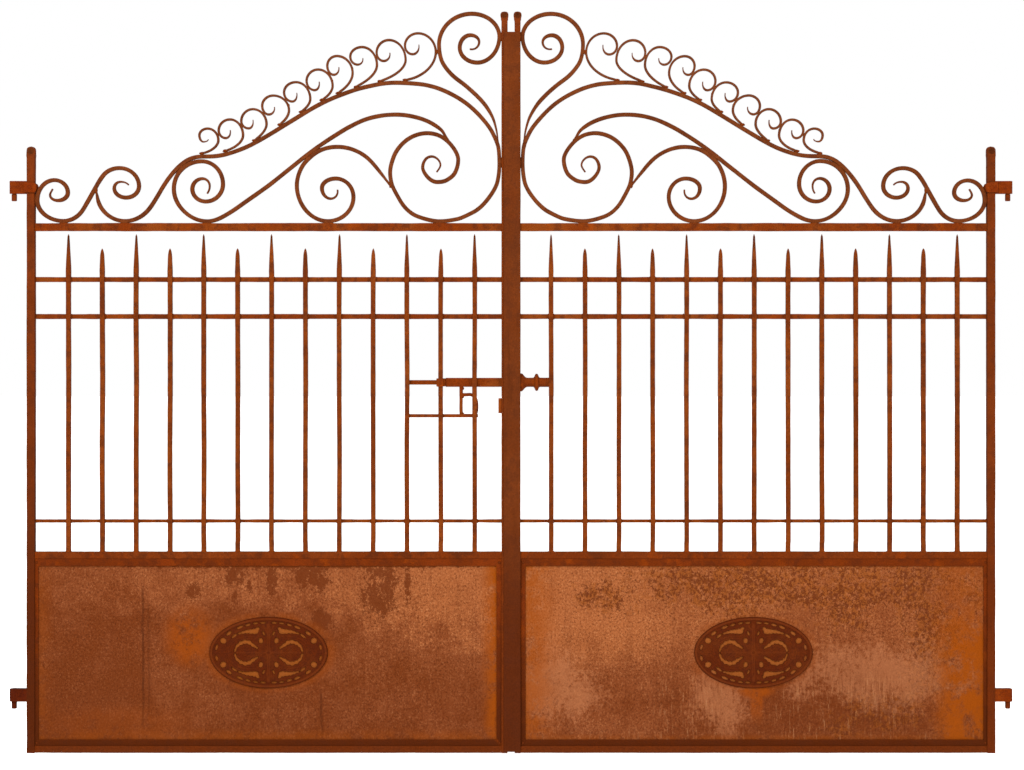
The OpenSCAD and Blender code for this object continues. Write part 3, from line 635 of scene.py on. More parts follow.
    # orange along the frame and round the medallion
    ex = T.math("ABSOLUTE", x)
    if L:
        edge = T.most([S(ex, 1.36, 1.42, 0, 0.35), S(ex, 0.100, 0.045, 0, 1.0), S(z, 0.550, 0.572, 0, 0.55), S(z, 0.080, 0.040, 0, 0.40)])
    else:
        edge = T.most([mul(S(ex, 1.24, 1.33, 0, 1.0), S(z, 0.46, 0.33, 0.45, 1.0)), S(ex, 0.17, 0.05, 0, 0.75), S(z, 0.545, 0.570, 0, 0.60), S(z, 0.060, 0.040, 0, 0.40)])
    fuzz = plus(T.noise(14, 6, 0.75), T.rng(grain2, 0.3, 0.7, -0.09, 0.09, False))
    edge = mul(edge, S(fuzz, 0.34, 0.56))
    c = T.mix(edge, c, C(162, 75, 6))
    mx = T.math("SUBTRACT", ex, 0.727)
    ring = plus(T.math("POWER", T.math("DIVIDE", mx, 0.1775), 2.0), T.math("POWER", T.math("DIVIDE", T.math("SUBTRACT", z, 0.300), 0.1065), 2.0))
    if L:
        stain = T.most([S(T.spot(-0.965, 0.345, 0.10, 0.12), 0.0, 0.7, 0, 0.85), S(T.spot(-1.17, 0.09, 0.30, 0.07), 0.0, 0.7, 0, 0.25), S(ring, 1.5, 1.0, 0, 0.45)])
    else:
        stain = T.most([mul(S(T.math("ABSOLUTE", T.math("SUBTRACT", x, 0.737)), 0.024, 0.012), S(z, 0.075, 0.15, 0, 0.8), S(z, 0.30, 0.20)), S(T.spot(0.735, 0.185, 0.07, 0.03), 0.0, 0.6, 0, 0.9), S(ring, 1.4, 1.0, 0, 0.30)])
    stain = mul(stain, S(fuzz, 0.34, 0.54))
    c = T.mix(stain, c, C(158, 71, 8))
    # painted light: the front of the sheet inside the medallion's outline is lightened to amber, to offset the shade in
    # the openings
    c = T.mix(mul(S(ring, 0.86, 0.74, 0, 0.6), S(y, 0.0007, 0.0004)), c, C(170, 93, 36))
    gg = T.rng(tiny, 0.3, 0.7, 0.84, 1.16, False)
    cc = T.n("ShaderNodeCombineColor")
    for i in range(3):
        T.link(gg, cc.inputs[i])
    c = T.mix(1.0, c, cc.outputs[0], "MULTIPLY")
    T.link(c, T.b.inputs["Base Color"])
    T.link(T.rng(warp2, 0.3, 0.7, 0.92, 0.74), T.b.inputs["Roughness"])
    T.b.inputs["Specular IOR Level"].default_value = 0.04
    n = T.bump(T.math("SUBTRACT", 1.0, patches), 0.6, 0.0007)
    n = T.bump(grain, 0.5, 0.0008, n)
    n = T.bump(tiny, 0.4, 0.0003, n)
    n = T.bump(warp2, 0.4, 0.0015, n)
    T.link(n, T.b.inputs["Normal"])
    return T.m


M = {}
ORANGE = (150, 66, 14)
M["scroll"] = rust("rust_scroll", (120, 65, 43), (98, 48, 30), (134, 75, 54), (146, 68, 24), shift=1.0, bright_amt=0.30, dark_amt=0.6)
M["crest"] = rust("rust_crest", (120, 68, 54), (98, 52, 38), (132, 78, 64), (142, 72, 40), shift=4.0, bright_amt=0.15, dark_amt=0.5)
M["stile"] = rust("rust_stile", (122, 57, 25), (98, 45, 21), (138, 66, 34), ORANGE, patch=5.0, shift=2.0, low=(0.35, 1.10, (92, 41, 17), 0.85), streak=0.4)
M["stile_r"] = rust("rust_stile_right", (122, 57, 25), (100, 46, 21), (136, 66, 34), ORANGE, patch=5.0, shift=6.0, low=(0.2, 0.9, (110, 47, 15), 0.6), streak=0.4)
M["strip"] = rust("rust_strip", (116, 58, 33), (96, 48, 28), (130, 68, 42), (138, 64, 26), patch=4.0, shift=9.0, low=(0.25, 0.95, (98, 45, 25), 0.9), streak=0.5, bright_amt=0.16, grain=0.25, edge=0.2)
M["rail"] = rust("rust_rail", (139, 62, 19), (98, 45, 24), (152, 80, 38), (170, 79, 8), shift=3.0, bright_amt=0.50, dark_amt=0.62)
M["meet"] = rust("rust_meeting_stile", (130, 61, 26), (104, 48, 22), (138, 66, 34), (146, 68, 22), patch=5.0, shift=3.6, bright_amt=0.3, dark_amt=0.5, streak=0.4)
M["mark"] = rust("rust_mark", (88, 42, 22), (66, 30, 16), (110, 58, 34), (120, 62, 36), patch=20, shift=1.2, bright_amt=0.2, streak=0.0, edge=0.8)
M["picket"] = rust("rust_picket", (133, 64, 26), (98, 46, 26), (148, 77, 38), (164, 78, 12), shift=5.0, streak=0.35, dark_amt=0.6, bright_amt=0.4, low=(1.552, 1.500, (78, 38, 24), 0.85))
M["panel"] = rust("rust_panel_frame", (128, 58, 21), (101, 48, 22), (140, 68, 32), (158, 70, 8), patch=5.0, shift=7.0, low=(0.02, 0.10, (116, 55, 26), 0.9), bright_amt=0.55, dark_amt=0.7)
# darker towards the bottom: partly darker rust, partly painted shade standing in for the shadow along the bottom bead
M["bead"] = rust("rust_bead", (122, 54, 17), (104, 46, 17), (140, 62, 22), (162, 74, 10), patch=5.0, shift=8.0, low=(0.035, 0.50, (92, 42, 18), 0.9), bright_amt=0.6, dark_amt=0.7)
M["weld"] = rust("rust_weld", (134, 61, 20), (112, 50, 18), (144, 70, 28), (150, 72, 20), shift=2.5, patch=14, bright_amt=0.4, streak=0.0)
M["hinge"] = rust("rust_hinge", (137, 56, 12), (104, 40, 10), (148, 66, 24), (164, 78, 16), shift=1.7, patch=16, bright_amt=0.5, streak=0.0)
M["hinge_ll"] = rust("rust_hinge_lower_left", (94, 34, 12), (76, 22, 8), (108, 42, 18), (122, 50, 16), shift=1.9, patch=16, bright_amt=0.3, streak=0.0)
M["pin"] = rust("rust_pin", (124, 56, 24), (96, 42, 18), (136, 66, 32), ORANGE, shift=3.3, patch=20, streak=0.0)
M["bolt"] = rust("rust_bolt", (142, 64, 20), (110, 48, 15), (154, 82, 44), (166, 78, 12), shift=4.4, patch=9, bright_amt=0.5, streak=0.1)
# the cast pieces carry painted relief shading: painted shade on their low relief and a painted highlight on their high
# relief
M["cast"] = rust("rust_cast", (104, 44, 18), (86, 34, 14), (114, 54, 28), (124, 54, 18), shift=5.5, patch=12, bright_amt=0.25, dark_amt=0.5, streak=0.1, grain=0.28, edge=0.25, hollow=((70, 26, 10), 0.80, (126, 62, 34), 0.55))
M["sheet_left"] = sheet_mat("rust_sheet_left", "left")
M["sheet_right"] = sheet_mat("rust_sheet_right", "right")


# ------------------------------------------------------------------ pieces of one leaf
def stile_rings(cx, cy, hx, hy, z0, z_head, r_head, side, w_head=None):
    """square upright whose top is forged to a rounded head"""
    zs = list(np.arange(z0, z_head - r_head * 1.5, 9.0))
    prof = [(z, 1.0, 0.16) for z in zs]
    k = r_head / hx
    top = z_head + r_head - 0.1
    for t in np.linspace(0, 1, 22)[1:]:
        z = z_head - r_head * 1.5 + t * (r_head * 2.5)
        u = (z - z_head) / r_head
        if u < -0.9:
            s = 1 + (k - 1) * float(ease((u + 1.5) / 0.6)) * 0.55
        else:
            s = k * math.sqrt(max(0.0, 1 - abs(u) ** 2.6)) if u > 0 else 1 + (k - 1) * (0.55 + 0.45 * float(ease((u + 0.9) / 0.9)))
        prof.append((min(z, top), max(s, 0.12), 0.16 + 0.5 * float(ease((u + 1.2) / 1.4))))
    rings, cents = [], []
    for z, s, rr in prof:
        q = ring_shape(hx * s, hy * (s if s < 1 else 1), min(hx, hy) * max(s, 0.1) * rr, 4, 2)
        rings.append(np.c_[cx + q[:, 0], cy + q[:, 1], np.full(len(q), z)])
        cents.append(np.tile([cx, cy, z], (len(q), 1)))
    v, f = loft(rings)
    c = np.vstack(cents + [rings[0].mean(0)[None], rings[-1].mean(0)[None]])
    keep = v[:, 2].copy()
    v = rough(v, c, 0.3, 0.10, side, 0.55, 0.018)
    v[:, 2] = keep
    # dimple struck in the front and back of the head
    for sy in (-1, 1):
        d = np.hypot(v[:, 0] - cx, v[:, 2] - z_head)
        on = (np.sign(v[:, 1] - cy) == sy) & (d < r_head * 0.5)
        v[on, 1] -= sy * 2.2 * (1 - (d[on] / (r_head * 0.5)) ** 2)
    return v, f


def picket(x, tip, tall, side):
    z = list(np.arange(PANEL_TOP, 1410, 8.0))
    sh = 1431.0
    prof = [(q, 7.0, 7.0) for q in z]
    prof += [(1412, 7.0, 7.0), (1419, 7.2, 7.0), (1426, 7.4, 7.0), (sh, 7.3, 7.0), (sh + 12, 7.5, 7.0)]
    L = tip - sh
    for t in np.linspace(0, 1, 18)[1:]:
        q = sh + 12 + t * (L - 12)
        if tall:
            w = 7.5 * (1 - 0.70 * t ** 1.25)
            w = w * math.sqrt(max(0.02, 1 - max(0.0, (t - 0.965) / 0.035) ** 2))
        else:
            w = 7.5 * (1 - 0.36 * t)
            w = w * math.sqrt(max(0.012, 1 - max(0.0, (t - 0.66) / 0.34) ** 1.8))
        prof.append((q, w, max(min(w * 0.95, 7.0), 0.5)))
    cy = (FRONT + BACK) / 2
    rings, cents = [], []
    n = NOISE[side]
    for q, a, b in prof:
        s = ring_shape(a, b, min(a, b) * 0.22, 2, 1)
        off = n(np.array([[x * 0.01, q * 0.0045, 2.0], [x * 0.01, q * 0.0045, 9.0]]))
        wx = off[0] * 0.8 if q > PANEL_TOP + 30 else 0
        rings.append(np.c_[x + wx + s[:, 0], cy + s[:, 1], np.full(len(s), q)])
        cents.append(np.tile([x + wx, cy, q], (len(s), 1)))
    v, f = loft(rings)
    c = np.vstack(cents + [rings[0].mean(0)[None], rings[-1].mean(0)[None]])
    z0 = v[:, 2].copy()
    v = rough(v, c, 0.2, 0.14, side, 0.35, 0.03)
    v[:, 2] = z0
    v[:, 1] = np.clip(v[:, 1], FRONT - 0.6, BACK)
    return v, f


def flat(x0, x1, zc, h, y0, y1, side, r=1.6, amp=0.3):
    P = line((x0, zc), (x1, zc), 9.0)
    return sweep(P, h / 2, (y1 - y0) / 2, r=r, y=(y0 + y1) / 2, side=side, amp=0.22, freq=0.11, amp2=amp, freq2=0.02, cap=False)


def smooth_min(a, b, k):
    h = np.clip(0.5 + 0.5 * (b - a) / k, 0, 1)
    return b * (1 - h) + a * h - k * h * (1 - h)


def seg_dist(px, pz, pts):
    """distance to a polyline and the position along it, 0..1"""
    best = np.full(px.shape, 1e9)
    along = np.zeros(px.shape)
    L = [0.0]
    for i in range(len(pts) - 1):
        L.append(L[-1] + math.hypot(pts[i + 1][0] - pts[i][0], pts[i + 1][1] - pts[i][1]))
    for i in range(len(pts) - 1):
        ax, az = pts[i]
        bx, bz = pts[i + 1]
        dx, dz = bx - ax, bz - az
        t = np.clip(((px - ax) * dx + (pz - az) * dz) / (dx * dx + dz * dz), 0, 1)
        d = np.hypot(px - ax - t * dx, pz - az - t * dz)
        m = d < best
        best = np.where(m, d, best)
        along = np.where(m, (L[i] + t * (L[i + 1] - L[i])) / L[-1], along)
    return best, along


def ell(px, pz, cx, cz, a, b, rot=0.0):
    c, s = math.cos(math.radians(rot)), math.sin(math.radians(rot))
    x, z = (px - cx) * c + (pz - cz) * s, -(px - cx) * s + (pz - cz) * c
    k = np.hypot(x / a, z / b)
    return (k - 1) * min(a, b)


def smooth_path(pts, n=60):
    """Catmull-Rom through given points"""
    p = np.array(pts, float)
    q = np.vstack([2 * p[0] - p[1], p, 2 * p[-1] - p[-2]])
    out = []
    for i in range(1, len(q) - 2):
        for t in np.linspace(0, 1, max(3, n // (len(p) - 1)), endpoint=False):
            out.append(0.5 * ((2 * q[i]) + (q[i + 1] - q[i - 1]) * t + (2 * q[i - 1] - 5 * q[i] + 4 * q[i + 1] - q[i + 2]) * t ** 2 + (-q[i - 1] + 3 * q[i] - 3 * q[i + 1] + q[i + 2]) * t ** 3))
    out.append(p[-1])
    return [tuple(x) for x in out]


def medallion_fields(X, Z):
    """signed distance of the metal (negative inside) and height of the relief, in millimetres"""
    u, w = np.abs(X), np.abs(Z)
    r = np.hypot(X / MED_A, Z / MED_B)
    g = np.hypot(X / MED_A ** 2, Z / MED_B ** 2) / np.maximum(r, 1e-6)
    outer = (r - 1) / np.maximum(g, 1e-6)      # distance to the outer ellipse
    holes = np.full(X.shape, 1e3)

    def cut(d):
        nonlocal holes
        holes = np.minimum(holes, d)

    cut(ell(u, w, 136, 36, 10.0, 9.0, 40))
    cut(ell(u, w, 119, 58, 10.0, 5.0, -38))
    cut(ell(u, w, 86, 76, 11.0, 4.2, -25))
    cut(ell(u, w, 62, 83, 9.0, 3.8, -18))
    cut(ell(u, w, 39, 88, 8.5, 3.4, -11))
    cut(ell(u, w, 17, 89.5, 9.0, 3.4, -4))
    cut(ell(u, w, 103, 50, 10.5, 4.0, 142))
    cut(ell(u, w, 156, 16.5, 9.5, 4.2, 106))
    d, s = seg_dist(u, w, smooth_path([(90, 57), (68, 62.5), (50, 63.5), (38, 64)], 30))
    cut(d - (2.6 + 6.2 * np.clip(s, 0, 1)) - 0.8 * np.sin(s * 30))
    cut(ell(u, w, 33, 71, 5.5, 7.0, 30))
    d, s = seg_dist(u, w, smooth_path([(101, 5), (95, 19), (80, 30), (63, 32), (48, 23), (34, 14)], 40))
    cut(d - (3.3 + 2.9 * np.sin(np.pi * np.clip(s * 1.1 - 0.1, 0, 1))) - 1.5 * np.sin(s * 40) * np.sin(np.pi * s))
    cut(ell(u, w, 23.5, 36, 6.8, 9.2, -14))
    cut(ell(u, w, 15, 58, 3.2, 8.0, -24))
    metal = np.maximum(outer, -holes)

    h = np.full(X.shape, 2.6)

    def ridge(d, half, top, p=2.0):
        nonlocal h
        k = np.clip(1 - np.abs(d / half) ** p, 0, 1)
        h = np.maximum(h, 2.6 + (top - 2.6) * np.sqrt(k))

    ridge(outer + 5.6, 5.6, 8.4)
    ridge(outer + 13.6, 1.9, 4.6)
    ridge(outer + 27.5 + 2.5 * np.sin(np.arctan2(Z / MED_B, X / MED_A) * 22), 2.0, 5.0)
    # C-scrolls with three ridges
    d, s = seg_dist(u, w, smooth_path([(121, 4), (117, 20), (104, 35), (84, 45), (62, 48), (42, 48), (31, 44), (29, 37), (35, 34)], 80))
    half = 10.5 - 5.5 * np.clip((s - 0.55) / 0.45, 0, 1)
    k = np.clip(1 - (d / half) ** 4, 0, 1)
    h = np.maximum(h, np.where(k > 0, 2.6 + 3.4 * np.sqrt(k) + 0.85 * np.cos(d / half * math.pi * 2.5) * k, h))
    # vertical stem, horizontal leaf, palmettes
    stem = 9.0 + 2.5 * np.cos(w / 74 * math.pi * 2)
    k = np.clip(1 - (u / stem) ** 4, 0, 1) * (w < 74)
    h = np.maximum(h, np.where(k > 0, 2.6 + 4.4 * np.sqrt(k) - 0.9 * np.cos(u * 0.9) * k * 0.6, h))
    leaf = np.clip(6 + 13.0 * np.sin(np.clip((u - 12) / 86, 0, 1) * math.pi) ** 1.2, 0.1, 99) * (1 + 0.10 * np.sin(u * 0.62))
    k = np.clip(1 - (w / leaf) ** 3, 0, 1) * (u < 99)
    vein = 0.8 * np.cos((u - w * 1.4) * 0.55) * np.clip(w / 6, 0, 1) + 1.4 * np.exp(-(w / 2.4) ** 2)
    h = np.maximum(h, np.where(k > 0, 2.6 + 3.6 * np.sqrt(k) + vein * k, h))
    for cx, cz, a, b, rot, top in ((0, 79, 9, 15, 0, 8.0), (13, 76, 6.5, 12, -32, 7.2), (24, 66, 6.0, 9.5, -62, 6.6), (18, 50, 4.5, 8, 30, 5.6), (0, 0, 17, 13, 0, 8.2),
                                 (139, 0, 18, 11, 0, 6.0), (118, 0, 6, 16, 0, 7.0), (158, 0, 9, 6, 0, 6.4)):
        e = ell(u, w, cx, cz, a, b, rot) / min(a, b)
        k = np.clip(-e, 0, 1)
        h = np.maximum(h, np.where(k > 0, 2.6 + (top - 2.6) * np.sqrt(np.clip(1 - (1 - k) ** 2, 0, 1)), h))
    k = np.clip(1 - (np.hypot(X, Z) / 5.0) ** 2, 0, 1)
    h = np.where(k > 0, np.minimum(h, 8.4 - 2.4 * np.sqrt(k)), h)
    h = h + 0.5 * np.cos(w * 0.85) * ((u > 124) & (u < 150) & (w < 17))
    # little studs at the top and bottom of the rim
    k = np.clip(1 - (np.hypot(X, w - (MED_B - 6)) / 3.4) ** 2, 0, 1)
    h = np.maximum(h, 5 + 3.8 * np.sqrt(k) * (k > 0))
    return metal, np.clip(h, 1.5, 8.9)


def medallion(side, step=1.15):
    xs = np.arange(-MED_A - 2 * step, MED_A + 3 * step, step)
    zs = np.arange(-MED_B - 2 * step, MED_B + 3 * step, step)
    X, Z = np.meshgrid(xs, zs, indexing="ij")
    F, _ = medallion_fields(X, Z)
    # cells whose middle is metal
    cx, cz = np.meshgrid(xs[:-1] + step / 2, zs[:-1] + step / 2, indexing="ij")
    C, _ = medallion_fields(cx, cz)
    keep = C < 0
    used = np.zeros(X.shape, int)
    for a in (0, 1):
        for b in (0, 1):
            used[a:a + keep.shape[0], b:b + keep.shape[1]] += keep
    rim = (used > 0) & (used < 4)
    # slide rim points onto the edge of the metal
    x, z = X.copy(), Z.copy()
    for _ in range(3):
        e = 0.2
        f0, _ = medallion_fields(x, z)
        fx, _ = medallion_fields(x + e, z)
        fz, _ = medallion_fields(x, z + e)
        gx, gz = (fx - f0) / e, (fz - f0) / e
        g2 = np.maximum(gx * gx + gz * gz, 0.05)
        sx, sz = -f0 * gx / g2, -f0 * gz / g2
        l = np.maximum(np.hypot(sx, sz) / (0.55 * step), 1)
        x = np.where(rim, x + sx / l, x)
        z = np.where(rim, z + sz / l, z)
    ox, oz = x - X, z - Z
    l = np.maximum(np.hypot(ox, oz) / (0.8 * step), 1)
    x, z = X + ox / l, Z + oz / l
    _, h = medallion_fields(x, z)
    n = NOISE[side]
    P = np.c_[x.ravel(), h.ravel(), z.ravel()]
    h = h + (n(P * 0.35) * 0.16 + n(P * 0.09 + 4) * 0.2).reshape(h.shape)
    ed = np.where(rim, 1.2, 0.0)
    h = np.clip(h - ed, 1.2, 8.95)
    idx = -np.ones(X.shape, int)
    sel = used > 0
    idx[sel] = np.arange(sel.sum())
    nv = int(sel.sum())
    fx, fz, fh = x[sel] + MED_C[0], z[sel] + MED_C[1], h[sel]
    front = np.c_[fx, -fh, fz]
    back = np.c_[fx, np.full(nv, -0.15), fz]
    v = np.vstack([front, back])
    faces = []
    I, J = np.nonzero(keep)
    q = np.c_[idx[I, J], idx[I + 1, J], idx[I + 1, J + 1], idx[I, J + 1]]
    faces += [tuple(r) for r in q]
    faces += [tuple(r) for r in (q[:, ::-1] + nv)]
    # side walls
    kp = np.pad(keep, 1)
    for di, dj, a, b in ((-1, 0, (0, 1), (0, 0)), (1, 0, (1, 0), (1, 1)), (0, -1, (0, 0), (1, 0)), (0, 1, (1, 1), (0, 1))):
        nb = kp[1 + di:1 + di + keep.shape[0], 1 + dj:1 + dj + keep.shape[1]]
        I, J = np.nonzero(keep & ~nb)
        p = idx[I + a[0], J + a[1]]
        r = idx[I + b[0], J + b[1]]
        faces += [tuple(t) for t in np.c_[p, r, r + nv, p + nv]]
    return v, faces


def gudgeon(z, side, clasp):
    parts = []
    hw = SW / 2
    # top view: eye round the pin, block up to the stile
    out = [(-HX + 13.9 * math.cos(math.radians(t)), 13.9 * math.sin(math.radians(t))) for t in range(60, 301, 12)]
    out += [(-SI - SW + 0.4, -hw + 0.1), (-SI - SW + 0.4, hw - 0.1)]
    hole = [(-HX + 7.1 * math.cos(math.radians(t)), 7.1 * math.sin(math.radians(t))) for t in range(0, 360, 10)]
    parts.append(slab(out, "xy", z, z + 32, 0.9, 2, hole=hole))
    parts.append(slab(out, "xy", z + 31.2, z + 38, 1.6, 3))
    if clasp:
        # cheeks that clasp the stile, with rounded tips; the upper edge slopes a little
        x0, x1 = -SI - SW - 7.5, -SI + 6.5
        for s in (-1, 1):
            c = [(x0, z + 3.4), (x1 - 8, z + 3.2), (x1 - 2.5, z + 6), (x1, z + 12), (x1, z + 23), (x1 - 2.5, z + 29), (x1 - 8, z + 32.4), (x0, z + 34.8)]
            y0, y1 = (-hw - 5.9, -hw + 0.5) if s < 0 else (hw - 0.5, hw + 5.9)
            parts.append(slab(c, "xz", y0, y1, 1.4, 3))
            pr = [(6.6, 0.0), (6.5, 0.9), (5.7, 1.9), (3.9, 2.7), (1.4, 3.0)]
            parts.append(lathe([(r, s * d) for r, d in pr], "y", (-SI - SW / 2, s * (hw + 5.7), z + 18.5), 24))
    # hammered hollow with a raised lip on the front of the block
    parts.append(lathe([(8.6, 0.6), (8.2, -0.7), (7.2, -1.2), (5.9, -0.7), (4.2, 0.1), (0.6, 0.3)], "y", (-HX + 17, -hw - 0.2, z + 24), 26))
    v, f = merge(parts)
    n = NOISE[side]
    v = v + np.c_[n(v * 0.11), n(v * 0.11 + 9), n(v * 0.11 + 17)] * 0.22
    v[:, 0] = np.maximum(v[:, 0], -1503.9)
    return v, f


def pintle(z, side):
    pr = [(5.2, z - 22), (6.6, z - 21.9), (7.4, z - 21.0), (7.95, z - 19.6), (7.97, z - 10), (7.95, z - 3.0), (7.5, z - 2.1), (7.0, z - 1.9), (6.98, z), (6.98, z + 31.0), (6.4, z + 31.6), (4, z + 31.7)]
    return lathe([(r, s) for r, s in pr], "z", (-HX, 0, 0), 40)


def head_mark(x, y, z, R):
    """round mark forged into the front of a stile's head: raised lip round a pit"""
    return lathe([(R * 0.80, 0.8), (R * 0.72, -0.7), (R * 0.60, -1.25), (R * 0.46, -0.6), (R * 0.34, -0.9), (R * 0.24, -0.2), (R * 0.12, 0.6), (0.2, 0.75)], "y", (x, y, z), 32)


def leaf(side):
    body = f"{side}_leaf"
    L = side == "left"
    S = lambda n: f"{side}_{n}"
    stile_m = M["stile"] if L else M["stile_r"]
    kw = dict(body=body, side=side)
    v, f = stile_rings(-SI - SW / 2, 0, SW / 2, SW / 2, 0, 1804, 14, side)
    add(S("hinge_stile_forged"), v, f, stile_m, node=S("hinge_stile"), slot="wrought_iron", **kw)
    fr = -10.5 if L else -11.0
    v, f = stile_rings(-(MI + MW / 2), (fr + 11) / 2, MW / 2, (11 - fr) / 2, 0, 2211, 12, side)
    v[:, 1] = np.clip(v[:, 1], fr, 11)
    add(S("meeting_stile_forged"), v, f, M["meet"], node=S("meeting_stile"), slot="wrought_iron", **kw)
    v, f = flat(-SI - 2, -MO + 2, RAIL_Z - RAIL_H / 2, RAIL_H, -6, 6, side, amp=0.6)
    add(S("top_rail_forged"), v, f, M["rail"], node=S("top_rail"), slot="wrought_iron", **kw)
    for nm, zc, h, d in (("upper_rail", 1419, 15, 8), ("middle_rail", 1308, 15, 8), ("thin_rail", 694, 10, 6)):
        v, f = flat(-SI - 2, -MO + 2, zc, h, BACK, BACK + d, side, amp=0.6)
        add(S(nm + "_forged"), v, f, M["rail"], node=S(nm), slot="wrought_iron", **kw)
    for nm, zc in (("panel_rail", PANEL_TOP - PRH / 2), ("bottom_rail", PRH / 2)):
        v, f = flat(-SI - 2, -MO + 2, zc, PRH, -8, 8, side, r=1.8, amp=0.4)
        v[:, 2] = np.maximum(v[:, 2], 0.0)
        add(S(nm + "_forged"), v, f, M["panel"], node=S(nm), slot="wrought_iron", **kw)
    hm = [head_mark(-SI - SW / 2, -SW / 2, 1804, 14), head_mark(-(MI + MW / 2), fr, 2211, 12)]
    add(S("head_marks"), *merge(hm), M["mark"], node=None, slot="wrought_iron", **kw)
    xs = [-((109 if L else 120.5) + 101.5 * i) for i in range(13)]
    add(S("tall_pickets_forged"), *merge([picket(x, 1555, True, side) for x in xs[0::2]]), M["picket"], node=S("tall_pickets"), slot="wrought_iron", **kw)
    add(S("short_pickets_forged"), *merge([picket(x, 1512, False, side) for x in xs[1::2]]), M["picket"], node=S("short_pickets"), slot="wrought_iron", **kw)
    # panel: beads, sheet, medallion, rivets
    x0, x1, z0, z1 = -SI - 1.5, -MO + 1.5, PRH - 0.8, PANEL_TOP - PRH + 0.8
    bt, bb, bh, bm_ = 22.8, 18.8, 11.5, 16.5
    quads = [[(x0, z0), (x1, z0), (x1 - bm_, z0 + bb), (x0 + bh, z0 + bb)],
             [(x0 + bh, z1 - bt), (x1 - bm_, z1 - bt), (x1, z1), (x0, z1)],
             [(x0, z0), (x0 + bh, z0 + bb), (x0 + bh, z1 - bt), (x0, z1)],
             [(x1 - bm_, z0 + bb), (x1, z0), (x1, z1), (x1 - bm_, z1 - bt)]]
    parts = []
    for q in quads:
        # cut the long sides into short lengths; these points are not used, and bead_bar makes the bar uneven
        def cut(a, b):
            m = max(1, int(math.hypot(b[0] - a[0], b[1] - a[1]) / 14))
            return [(a[0] + (b[0] - a[0]) * i / m, a[1] + (b[1] - a[1]) * i / m) for i in range(m)]
        o = [p for i in range(4) for p in cut(q[i], q[(i + 1) % 4])]
        parts.append(bead_bar(q, side))
    add(S("panel_beads_forged"), *merge(parts), M["bead"], node=S("panel_beads"), slot="wrought_iron", **kw)
    add(S("panel_sheet_rolled"), *sheet(side), M["sheet_" + side], node=S("panel_sheet"), slot="sheet_iron", **kw)
    add(S("medallion_cast"), *medallion(side), M["cast"], node=S("medallion"), slot="cast_iron_oval", angle=50, **kw)
    parts = []
    dome = [(4.0, 0.2), (3.9, -0.8), (3.3, -1.7), (2.0, -2.4), (0.6, -2.6)]
    for s in (-1, 1):
        parts.append(lathe([(r * 1.2, d) for r, d in dome], "y", (MED_C[0] + s * (MED_A - 5.5), -5.9, MED_C[1]), 20))
    for x in (-SI + 5, -MO - 7):
        for z in (PRH + 9, PANEL_TOP - PRH - 11):
            parts.append(lathe(dome, "y", (x, -5.9, z), 20))
    add(S("rivets_domed"), *merge(parts), M["cast"], node=S("rivets"), slot="cast_iron_oval", **kw)
    # scrollwork
    for nm, kn, e in (("outer_scroll", OUTER, (5, 80, 5, 90)), ("arch_scroll", ARCH, (4, 60, 5, 170)), ("lower_scroll", LOWER, (5, 110, 8, 70)),
                      ("middle_scroll", MIDDLE, (5, 90, 7, 80)), ("top_scroll", TOP, (5, 100, 4, 160))):
        add(S(nm + "_forged"), *scroll(kn, 12, 14, *e, side), M["scroll"], node=S(nm), slot="wrought_iron", **kw)
    parts = []
    for c in CREST:
        first, last = c[0] == -910, c[0] == -279
        dl, dr = (0.0 if first else -4.0), (1.5 if last else 2.2)
        kn = [(c[6], c[7], -80), (c[4] - 0.5, c[5], 180), (c[2] + dl, c[3], 90), (c[0], c[1], 0), (c[8] + dr, c[9], -90), (c[10], c[11], c[12])]
        parts.append(scroll(kn, 7, 10, 3, 34, 5, 14, side, 2.6))
    add(S("crest_scrolls_forged"), *merge(parts), M["crest"], node=S("crest_scrolls"), slot="wrought_iron", **kw)
    # welds
    w = []
    for x in xs:
        for zc, h in ((1419, 15), (1308, 15), (694, 10)):
            for s in (-1, 1):
                w.append(blob((x + s * 8.2, BACK - 0.8, zc), (2.9, 2.6, h / 2 + 1.2), seed=x + zc, nu=10, nv=8, side=side))
        w.append(blob((x, -1.5, PANEL_TOP), (10.2, 6.2, 2.6), seed=x, nu=14, nv=8, side=side))
    for x, z, a in ((-1342, 1588.5, 13), (-1158, 1588.5, 13), (-911, 1588.5, 13), (-549, 1588.5, 14), (-216, 1588.5, 14)):
        w.append(blob((x, 0, z), (a, 6.6, 3.4), seed=x, nu=18, nv=10, side=side))
    for x, z, a, b in ((-1426, 1657, 3.0, 12), (-29, 1770, 2.6, 16), (-29, 2147, 2.6, 14), (-1245, 1688, 5, 12), (-988, 1757, 5.5, 7), (-1002, 1752, 4, 5), (-601, 1797, 7, 6),
                       (-612, 1786, 5, 6), (-361, 1702, 5, 9), (-191, 1836, 6, 6), (-41, 1828, 5, 16), (-222.5, 2101, 3.5, 8)):
        w.append(blob((x, 0, z), (a, 6.9, b), seed=z, nu=14, nv=10, side=side))
    for c in CREST:
        w.append(blob((c[10] + 3, 0, c[11] + 0.5), (8.5, 5.2, 4.6), seed=c[0], nu=14, nv=8, side=side))
        w.append(blob((c[8] - 1 if c[8] > -240 else c[8] + 1.5, 0, c[9] + 14), (2.6, 4.2, 5.0), seed=c[2], nu=10, nv=8, side=side))
    for zc, h in ((RAIL_Z - RAIL_H / 2, RAIL_H), (1419, 15), (1308, 15), (694, 10), (PANEL_TOP - PRH / 2, PRH)):
        yy = 0 if h > 20 else BACK + 2.5
        for x in (-SI, -MO):
            w.append(blob((x, yy, zc), (2.4, 5.5 if h > 20 else 4.0, h / 2 + 1), seed=x + zc, nu=10, nv=8, side=side))
    add(S("welds"), *merge(w), M["weld"], node=None, slot="wrought_iron", **kw)
